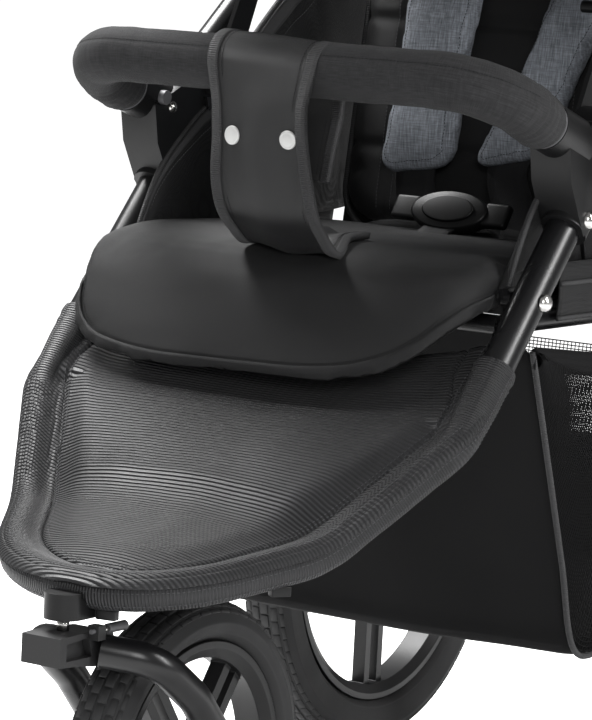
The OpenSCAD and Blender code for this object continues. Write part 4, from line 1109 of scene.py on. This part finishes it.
def make_harness():
    """The two shoulder pads, each with webbing from its shoulder to the side of the seat."""
    outline = rounded_outline(72, 0, 170, 17)
    flat = Vector((0, -math.cos(LEAN), math.sin(LEAN)))
    for side, sign, x0, z0, lean, rise in (("left", 1, 37, 78, 0.36, 0.24),
                                           ("right", -1, -54, 66, 0.05, 0.14)):
        def place(x, y, z, x0=x0, z0=z0, lean=lean, rise=rise):
            return leaning(x0 + x + z * lean, y - 44, z0 + z + x * rise)

        first = side == "left"
        pad = cushion(f"{side}_shoulder_pad", outline, 17, place, 0.0045, 0.006, 5)
        dressed(pad, "backrest", "melange_blue", *(["shoulder_pads"] if first else []))
        edge = [place(x * 0.9, -20, 85 + (z - 85) * 0.95) for x, z in outline]
        seam = onto(surface(pad), spaced(edge + edge[:1], 0.003), 0.0002)
        stitches(f"{side}_pad_stitches", [seam], "backrest", "melange_blue", "dark_thread", 0.003)

        joint = leaning(sign * 38, -46, 14)
        shoulder = [place(0, -2, 258), place(0, 2, 200), place(0, 2, 60), place(0, 0, -2)]
        runs = ((shoulder + [leaning(sign * 48, -42, 36), joint], 0.019),
                ([joint, leaning(sign * 90, -40, 8), leaning(sign * 140, -12, -6)], 0.0125))
        webs = []
        for run, half in runs:
            line = smoothed(run, 0.005)
            across = [t.cross(flat).normalized() * half for t in headings(line)]
            webs.append(ribbon("web", line, across, 0.0018))
        web = joined(f"{side}_harness_webbing", webs)
        dressed(web, "backrest", "webbing", *(["harness_straps"] if first else []))
    make_buckle()


def make_buckle():
    """An oval buckle with a button and two prongs, on a short length of webbing from the seat."""
    centre, tilt = at(14, 78, 564), -34

    def spot(x, y, z):
        v = Vector((x, y, z)) * MM
        v.rotate(Euler((math.radians(tilt), 0, 0)))
        return centre + v

    parts, turns = [], [2 * math.pi * j / 48 for j in range(48)]
    for depth, scale, y0 in ((13, 1.0, 0), (3.2, 0.66, -7.5)):
        rows = []
        for k in range(9):
            a = math.pi * k / 8
            share = scale * (1 - 0.1 * (1 - math.sin(a)))
            y = y0 + depth / 2 * math.cos(a)
            rows.append([spot(38 * share * math.cos(b), y, 19 * share * math.sin(b)) for b in turns])
        parts.append(outward(grid("buckle", rows, wrap=True, caps=True)))
    for sign in (-1, 1):
        parts.append(block("prong", (24, 8, 22), spot(sign * 44, 0, 1), (tilt, 0, 0), 0.003))
    dressed(joined("harness_buckle_body", parts), "frame", "dark_plastic", "harness_buckle")
    line = smoothed([at(8, 50, SEAT_TOP + 1), at(10, 60, 549), at(13, 72, 556)], 0.003)
    web = ribbon("crotch_webbing", line, [Vector((0.015, 0, 0))] * len(line), 0.002)
    dressed(web, "frame", "webbing", "crotch_strap")


# ---- basket -------------------------------------------------------------------------
def make_basket():
    """A cloth front and floor, with net sides and a bound rim."""
    front = [(-105, 497), (-98, 482), (-74, 420), (-52, 360), (-28, 296), (-10, 250), (0, 228)]
    floor = [(0, 228), (60, 222), (170, 222), (280, 230), (345, 240)]
    rear = [(345, 240), (352, 275), (359, 320), (363, 350)]
    line = smoothed([at(0, *p) for p in front + floor[1:] + rear[1:]], 0.008)
    rows = []
    for p in line:
        row = []
        for k in range(49):
            s = k / 24 - 1
            q = p + Vector((lerp(0.2005, 0.181, smooth((p.z - 0.47) / 0.015)) * s, 0, 0))
            edge = max(0, (abs(s) - 0.93) / 0.07)
            q.z += 0.004 * edge ** 2 - 0.004 * (1 - s * s) * smooth((0.3 - p.z) / 0.05)
            q += Vector((0, 0.0022, 0.0012)) * noise.noise(Vector((q.x * 8, q.y * 10, q.z * 8)))
            row.append(q)
        rows.append(row)
    bag = thicken(grid("basket_cloth", rows), 0.0018)
    dressed(bag, "frame", "basket_fabric", "basket")
    back = [[at(x, 363 + 9 * k / 26, 350 + 80 * k / 26) for k in range(27)] for x in range(-200, 201, 4)]
    net = grid("rear_basket_net", back)
    stranded(net)
    dressed(net, "frame", "basket_fabric")
    for sign, side in ((1, "left"), (-1, "right")):
        net_side(sign, side)


def stranded(net):
    """Leaves only the strands along a sheet's edges."""
    wire = net.modifiers.new("Strands", "WIREFRAME")
    wire.thickness, wire.use_even_offset, wire.use_boundary = 0.0014, False, True
    return flattened(net)


def net_side(sign, side):
    """One side of the basket: net, with a bound rim above and piping round its other edges."""
    x = sign * 201.5
    rim = ((-96, 481), (0, 470), (120, 458), (250, 444), (368, 430))
    foot = ((-96, 479), (-62, 391), (-30, 307), (-3, 236), (60, 227), (170, 227), (280, 235), (345, 244))
    hem = ((-97, 480), (-62, 389), (-30, 305), (-1, 231), (60, 225), (170, 225), (280, 233), (347, 243),
           (358, 320), (371, 428))
    top = smoothed([at(x, *p) for p in rim], 0.0032)
    low = resampled(smoothed([at(x, *p) for p in foot], 0.01), len(top))
    belly = Vector((sign * 0.004, 0, 0))
    rows = []
    for a, b in zip(low, top):
        rows.append([a.lerp(b, k / 64) + belly * math.sin(math.pi * k / 64) for k in range(65)])
    net = stranded(grid(f"{side}_basket_net", rows))
    dressed(net, "frame", "basket_fabric")
    section = [Vector(v) * MM for v in ((0, 0, -16), (sign * 1.5, 0, -6), (0, 0, 3))]
    band = [[p + v for v in section] for p in top[::3]]
    dressed(thicken(finer(grid(f"{side}_basket_rim", band)), 0.003), "frame", "basket_fabric")
    piping(f"{side}_basket_piping", smoothed([at(x, *p) for p in hem], 0.005), 0.0026, "frame")
    seat_skirt(sign, side)


def seat_skirt(sign, side):
    """The strip of cloth below one edge of the seat, with two lines of piping."""
    rows = []
    for y in range(-34, 203, 6):
        row = []
        for k in range(9):
            p = at(sign * (184.6 + 1.2 * math.sin(math.pi * k / 8)), y, 545 - 5.6 * k)
            p.x += sign * 0.0012 * noise.noise(Vector((p.y * 20, p.z * 30, 1)))
            row.append(p)
        rows.append(row)
    dressed(thicken(grid(f"{side}_seat_skirt", rows), 0.0018), "frame", "seat_fabric")
    for k in (3, 8):
        cord = [row[k] + Vector((sign * 0.001, 0, 0)) for row in rows]
        piping(f"{side}_skirt_piping_{k}", cord, 0.0019, "frame")


# ---- hood ---------------------------------------------------------------------------
def hood_point(angle, r, x):
    """A point at an angle and a distance round the hood's pivot."""
    a = math.radians(angle)
    return at(x, HOOD[1] + r * math.cos(a), HOOD[2] + r * math.sin(a))


def arch_line(r, w):
    """Half of a hood bow as (radius, x) pairs, from the pivot to the middle."""
    corner = 60
    out = [(lerp(14, r - corner, k / 10), w) for k in range(10)]
    for k in range(11):
        a = math.radians(90 - 9 * k)
        out.append((r - corner + corner * math.cos(a), w - corner + corner * math.sin(a)))
    return out + [(r, (w - corner) * (1 - k / 8)) for k in range(1, 9)]


def make_hood():
    """The three cloth panels, each sagging a little between two bows."""
    panels = (("rear", "frame", 46, 84), ("middle", "hood_middle", 81, 118),
              ("front", "hood_front", 115, 152))
    for i, (part, body, start, end) in enumerate(panels):
        r, w = 261.3 + 9 * i, 154.3 + 9 * i
        half = arch_line(r, w)
        profile = half + [(q, -x) for q, x in reversed(half[:-1])]
        rows = []
        for k in range(21):
            t = k / 20
            sag = math.sin(math.pi * t)
            row = []
            for q, x in profile:
                hold = smooth((q - 14) / 120)
                narrow = math.copysign(2.5 * sag * hold, x) if abs(x) > 1 else 0
                p = hood_point(lerp(start, end, t), q - 5.5 * sag * hold, x - narrow)
                row.append(p + (p - at(*HOOD)).normalized() * 0.0012 * noise.noise(p * 16) * hold)
            rows.append(row)
        sheet = thicken(grid(f"hood_{part}_cloth", rows), 0.002, -1)
        dressed(sheet, body, "hood_fabric", f"hood_{part}_panel")
        bow = [hood_point(end - 0.8, q + 0.2, x) for q, x in profile[1:-1]]
        piping(f"hood_{part}_bow", bow, 0.0028, body, UP)
        seam = [hood_point(end - 3, q + 1.2 - 1.2 * math.sin(math.pi * 0.9), x) for q, x in profile[4:-4]]
        seam = onto(surface(sheet), spaced(seam, 0.003), 0.0003)
        stitches(f"hood_{part}_stitches", [seam], body, "hood_fabric")


# ---- wheels -------------------------------------------------------------------------
TREAD_ROWS = ((-0.195, 0.31, 0.0), (0.195, 0.31, 0.5), (-0.56, 0.27, 0.5), (0.56, 0.27, 0.0),
              (-0.8, 0.16, 0.0), (0.8, 0.16, 0.5))
TREAD_PITCH = 14


def make_tyre(name, node, body, centre, outer, section, width):
    """A tyre with raised rings on its walls and six rows of tread blocks."""
    inner, half = outer - section, width / 2
    wall = [(inner - 1, 0.52), (inner + 3, 0.74), (inner + 6, 0.9), (inner + 7.5, 0.93),
            (inner + 8.5, 0.93),
            (inner + 10, 1), (outer - 19, 1), (outer - 18, 1.02), (outer - 16.5, 1.02),
            (outer - 15.5, 0.97), (outer - 9, 0.86), (outer - 5, 0.68), (outer - 3.6, 0.55),
            (outer - 2.6, 0.42), (outer - 2, 0.3), (outer - 1.5, 0.1)]
    profile = [(r, -half * share) for r, share in wall]
    profile += [(r, -x) for r, x in reversed(profile)]
    dressed(revolve(name, profile, centre, 160), body, "tyre", node)
    treads, count = [], round(2 * math.pi * outer / TREAD_PITCH)
    for x, wide, turn in TREAD_ROWS:
        drop = course([(0.15, 2.0), (0.2, 2.1), (0.56, 4.7), (0.8, 8.6)], abs(x))
        lean = math.copysign(course([(0.15, 3), (0.2, 5), (0.56, 21), (0.8, 40)], abs(x)), x)
        place = Vector((x * half, 0, outer - drop)) * MM
        tread = block("tread", (half * wide, 12.2, 3.0), place, (0, lean, 0), 0.0004, 1)
        turn *= 2 * math.pi / count
        treads.append(round_the_wheel(tread, centre, count, FINISHES["tyre"], turn))
    dressed(joined(f"{name}_tread", treads), body, "tyre")


def make_wheels():
    """The three tyres."""
    for side, x in (("left", 285), ("right", -285)):
        rear = f"{side}_rear"
        make_tyre(f"{rear}_tyre_rubber", f"{rear}_tyre", f"{rear}_wheel", at(x, 460, 200), 200, 45, 48)
    make_tyre("front_tyre_rubber", "front_tyre", "front_wheel", at(0, -255, 138), 138, 32, 48)


# ---- springs ------------------------------------------------------------------------
def box_of(obj):
    """The low and high corners of an object in world space."""
    corners = [obj.matrix_world @ Vector(c) for c in obj.bound_box]
    return [Vector(pick(c[i] for c in corners) for i in range(3)) for pick in (min, max)]


def make_springs():
    """A coil over each rear wheel's arm, which shortens as the arm swings up."""
    wire, turns, steps = 0.0016, 4, 144
    for side in ("left", "right"):
        low, high = box_of(NODES[f"{side}_spring"])
        radius, rise = (high.x - low.x) / 2 - wire, high.z - low.z - 2 * wire
        middle = (low + high) / 2
        path = []
        for i in range(steps + 1):
            share = i / steps
            turn, climb = 2 * math.pi * turns * share, smooth(share) * 0.25 + share * 0.75
            path.append(Vector((middle.x + radius * math.cos(turn), middle.y + radius * math.sin(turn),
                                low.z + wire + rise * climb)))
        coil = sweep(f"{side}_coil", path, wire, UP, 14)
        dressed(coil, "rear_legs", "spring_steel", f"{side}_spring")
        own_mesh(coil)


def make_bright_pins():
    """The bare steel of the fork's king pin and of the swivel lock's pin."""
    pins = (("king_pin_shank", "fork", (0, -417, 272.4), (0, -417, 281.9), 0.0047),
            ("lock_pin_shank", "swivel_lock_knob", (23, -401, 274), (23, -392.8, 274), 0.0026))
    for name, body, start, end, radius in pins:
        dressed(sweep(name, [at(*start), at(*end)], radius, ACROSS, 20), body, "nickel")


# ---- hard parts ---------------------------------------------------------------------
def shading_tree():
    """Welds a solid and shades it smooth, except over edges that are sharper than an angle."""
    tree, source, out, _ = new_group("Shading", ("Sharp Angle", "Float", math.radians(32)))
    new, link = tree.nodes.new, tree.links.new
    weld, normals = new("GeometryNodeMergeByDistance"), new("GeometryNodeSetMeshNormal")
    edge, sharp = new("GeometryNodeInputMeshEdgeAngle"), new("FunctionNodeCompare")
    weld.inputs["Distance"].default_value = 0.00002
    normals.mode = "SHARPNESS"
    link(source.outputs["Geometry"], weld.inputs["Geometry"])
    link(weld.outputs["Geometry"], normals.inputs["Mesh"])
    link(edge.outputs["Unsigned Angle"], sharp.inputs["A"])
    link(source.outputs["Sharp Angle"], sharp.inputs["B"])
    link(sharp.outputs["Result"], normals.inputs["Edge Sharpness"])
    link(normals.outputs["Mesh"], out.inputs["Geometry"])
    return tree


def finish_hard_parts():
    """Gives every solid that stays in view its finish and softened edges."""
    soft = {"seat_fabric", "satin_fabric", "ribbed_fabric", "basket_fabric", "hood_fabric"}
    parts = frame["record"]["subparts"]
    slots = {part["node"]: part.get("material_slot") for part in parts if "node" in part}
    shading = shading_tree()
    for name, obj in NODES.items():
        slot = slots.get(name, "dark_plastic")
        obj.data.materials.clear()
        obj.data.materials.append(FINISHES[slot])
        if obj.hide_render or slot in soft:
            continue
        obj.modifiers.new("Shading", "NODES").node_group = shading
        bevel = obj.modifiers.new("Edges", "BEVEL")
        bevel.width, bevel.segments, bevel.limit_method = 0.0007, 2, "ANGLE"
        bevel.angle_limit, bevel.harden_normals, bevel.use_clamp_overlap = math.radians(35), True, True


# ---- stage --------------------------------------------------------------------------
CAMERA_AT = Vector((1.641, -2.7045, 0.821))
CAMERA_TURN, CAMERA_DROP, CAMERA_ROLL = math.radians(33.58), math.radians(7.07), math.radians(3.05)


def camera_axes():
    """The camera's right, up and backward directions."""
    c, s = math.cos(CAMERA_DROP), math.sin(CAMERA_DROP)
    back = Vector((math.sin(CAMERA_TURN) * c, -math.cos(CAMERA_TURN) * c, s))
    level = Vector((math.cos(CAMERA_TURN), math.sin(CAMERA_TURN), 0))
    rise = back.cross(level)
    cr, sr = math.cos(CAMERA_ROLL), math.sin(CAMERA_ROLL)
    return level * cr + rise * sr, rise * cr - level * sr, back


def soft_light(name, place, aim, size, power):
    """A white panel of light of a size in metres, turned to aim."""
    light = bpy.data.lights.new(name, "AREA")
    light.shape, light.size, light.size_y = "RECTANGLE", *size
    light.energy = power
    obj = linked(name, light)
    obj.location = place
    obj.rotation_euler = (Vector(aim) - Vector(place)).to_track_quat("-Z", "Y").to_euler()


def make_stage(settings):
    """A wide white floor under an even white sky, with three soft lights and the camera."""
    floor = grid("studio_floor", [[Vector((x, y, 0)) for x in (-40, 40)] for y in (-40, 40)])
    white = Finish("studio paper", settings.paper, 0.9)
    white.shader.inputs["Emission Color"].default_value = (1, 1, 1, 1)
    seen = white.node("ShaderNodeLightPath").outputs["Is Camera Ray"]
    white.link(white.spread(seen, 0, 1, 0.1, settings.glow), white.shader.inputs["Emission Strength"])
    white.bump(white.noise(40.0, 2), 0.0002, 0.2)
    floor.data.materials.append(white.material)

    world = bpy.context.scene.world or bpy.data.worlds.new("Studio")
    bpy.context.scene.world = world
    world.use_nodes = True
    sky = world.node_tree.nodes["Background"]
    sky.inputs["Color"].default_value = (1, 1, 1, 1)
    ray = world.node_tree.nodes.new("ShaderNodeLightPath")
    source = ray.outputs["Is Glossy Ray"]
    levels = ((source, settings.ambient, settings.ambient * 0.6),
              (ray.outputs["Is Camera Ray"], None, 1.0))
    level = None
    for flag, low, high in levels:
        mix = world.node_tree.nodes.new("ShaderNodeMapRange")
        world.node_tree.links.new(flag, mix.inputs["Value"])
        mix.inputs["To Max"].default_value = high
        if level:
            world.node_tree.links.new(level, mix.inputs["To Min"])
        else:
            mix.inputs["To Min"].default_value = low
        level = mix.outputs["Result"]
    world.node_tree.links.new(level, sky.inputs["Strength"])

    right, up, back = camera_axes()
    soft_light("key", (-1.3, 0.1, 2.6), (0, -0.2, 0.5), (1.5, 1.3), settings.key_power)
    soft_light("side", (2.3, 0.2, 1.9), (0, -0.1, 0.5), (0.3, 2.0), settings.side_power)
    soft_light("front", (1.9, -2.6, 1.7), (0, -0.1, 0.5), (1.0, 1.2), settings.front_power)
    camera = bpy.data.cameras.new("camera")
    camera.lens, camera.sensor_width, camera.sensor_fit = settings.lens, 36, "AUTO"
    camera.clip_start, camera.clip_end = 0.05, 60
    view = linked("camera", camera)
    view.matrix_world = Matrix.Translation(CAMERA_AT) @ Matrix((right, up, back)).transposed().to_4x4()
    bpy.context.scene.camera = view
    bpy.context.scene.view_settings.view_transform = "Standard"


# ---- add-on -------------------------------------------------------------------------
def colour_property(name, value, text):
    """A colour setting with its default value and its description."""
    return bpy.props.FloatVectorProperty(name=name, description=text, default=value, subtype="COLOR",
                                         size=3, min=0, max=1)


def number_property(name, value, text, low=0, unit="NONE"):
    """A number setting with its default value, its description and its lowest value."""
    return bpy.props.FloatProperty(name=name, description=text, default=value, min=low, unit=unit)


class StrollerSettings(bpy.types.PropertyGroup):
    """The colours and the light of the stroller's scene."""
    lacquer: colour_property("Lacquer", (0.006, 0.006, 0.0065), "Colour of the lacquered tubes")
    plastic: colour_property("Plastic", (0.006, 0.006, 0.0063), "Colour of the black plastic fittings")
    crown: colour_property("Crown", (0.012, 0.012, 0.0125), "Colour of the fork's crown block")
    seat: colour_property("Seat cloth", (0.006, 0.006, 0.0064), "Colour of the seat, backrest and side walls")
    strap: colour_property("Strap", (0.0085, 0.0085, 0.009), "Colour of the strap between bumper and seat")
    tape: colour_property("Binding tape", (0.018, 0.018, 0.019), "Colour of bindings and piping")
    footrest: colour_property("Footrest cloth", (0.014, 0.014, 0.015), "Colour of the ribbed footrest cloth")
    basket: colour_property("Basket cloth", (0.0055, 0.0055, 0.0058), "Colour of the basket")
    bumper: colour_property("Bumper cloth", (0.02, 0.02, 0.021), "Colour of the bumper's melange cover")
    shoulder: colour_property("Shoulder pads", (0.2, 0.215, 0.24), "Colour of the harness pads")
    tyre: colour_property("Tyres", (0.018, 0.018, 0.0187), "Colour of the tyres")
    thread: colour_property("Thread", (0.09, 0.09, 0.095), "Colour of the visible seams")
    paper: colour_property("Studio paper", (0.86, 0.86, 0.86), "Colour of the studio's floor")
    key_power: number_property("Key light", 170, "Power of the broad light above on the left", unit="POWER")
    side_power: number_property("Side light", 60, "Power of the narrow light on the right", unit="POWER")
    front_power: number_property("Front light", 38, "Power of the light beside the camera", unit="POWER")
    ambient: number_property("Ambient", 0.35, "Strength of the white surroundings")
    glow: number_property("Paper glow", 0.8, "Light that the studio paper gives off")
    lens: number_property("Lens", 186.8, "Focal length of the camera in millimetres", low=20)


def piece_operator(key, label, text, *makers):
    """An operator that makes one piece, or one group of pieces, of the stroller."""
    def execute(self, context):
        for make in makers:
            make()
        return {"FINISHED"}
    return type(f"STROLLER_OT_{key}", (bpy.types.Operator,),
                {"__doc__": text, "bl_idname": f"stroller.{key}", "bl_label": label, "execute": execute})


class STROLLER_OT_finishes(bpy.types.Operator):
    """Makes every material of the stroller"""
    bl_idname = "stroller.finishes"
    bl_label = "Finishes"

    def execute(self, context):
        make_finishes(context.scene.stroller)
        return {"FINISHED"}


class STROLLER_OT_stage(bpy.types.Operator):
    """Sets up the studio floor, the lights and the camera"""
    bl_idname = "stroller.stage"
    bl_label = "Stage"

    def execute(self, context):
        make_stage(context.scene.stroller)
        return {"FINISHED"}


PIECES = (
    piece_operator("seat_pad", "Seat pad", "Lays the padded seat with its bound lip", make_seat_pad),
    piece_operator("bumper_cover", "Bumper cover", "Covers the bumper bar in cloth", make_bumper_cover),
    piece_operator("bumper_strap", "Bumper strap", "Hangs the strap with its snaps from the bar",
                   make_bumper_strap),
    piece_operator("side_walls", "Side walls", "Stretches the cloth walls beside the seat", make_side_walls),
    piece_operator("footrest", "Footrest", "Stretches the ribbed footrest over the front loop",
                   make_footrest, make_footrest_sleeve),
    piece_operator("backrest", "Backrest", "Pads the backrest", make_backrest),
    piece_operator("harness", "Harness", "Adds shoulder pads, webbing and the buckle", make_harness),
    piece_operator("basket", "Basket", "Hangs the basket under the seat", make_basket),
    piece_operator("hood", "Hood", "Stretches the three hood panels over their bows", make_hood),
    piece_operator("wheels", "Wheels", "Moulds the tyres", make_wheels),
    piece_operator("springs", "Springs", "Winds the suspension springs", make_springs),
    piece_operator("bright_pins", "Bright pins", "Bares the steel of the fork's pins", make_bright_pins),
    piece_operator("hard_parts", "Hard parts", "Finishes tubes, castings and rims", finish_hard_parts),
)


class STROLLER_PT_panel(bpy.types.Panel):
    """Colours, light and pieces of the stroller"""
    bl_label = "Stroller"
    bl_space_type = "VIEW_3D"
    bl_region_type = "UI"
    bl_category = "Stroller"

    def draw(self, context):
        for key in StrollerSettings.__annotations__:
            self.layout.prop(context.scene.stroller, key)
        for operator in (STROLLER_OT_finishes, *PIECES, STROLLER_OT_stage):
            self.layout.operator(operator.bl_idname)


CLASSES = (StrollerSettings, STROLLER_OT_finishes, *PIECES, STROLLER_OT_stage, STROLLER_PT_panel)


def register():
    """Registers the settings, the operators and the panel."""
    for cls in CLASSES:
        bpy.utils.register_class(cls)
    bpy.types.Scene.stroller = bpy.props.PointerProperty(type=StrollerSettings)


def unregister():
    """Undoes register."""
    del bpy.types.Scene.stroller
    for cls in reversed(CLASSES):
        bpy.utils.unregister_class(cls)


def main():
    """Builds the whole scene in order and writes the size of the solids' box and of the scene's."""
    register()
    bpy.ops.stroller.finishes()
    for operator in PIECES:
        getattr(bpy.ops.stroller, operator.bl_idname.split(".")[1])()
    bpy.ops.stroller.stage()


if __name__ == "__main__":
    main()
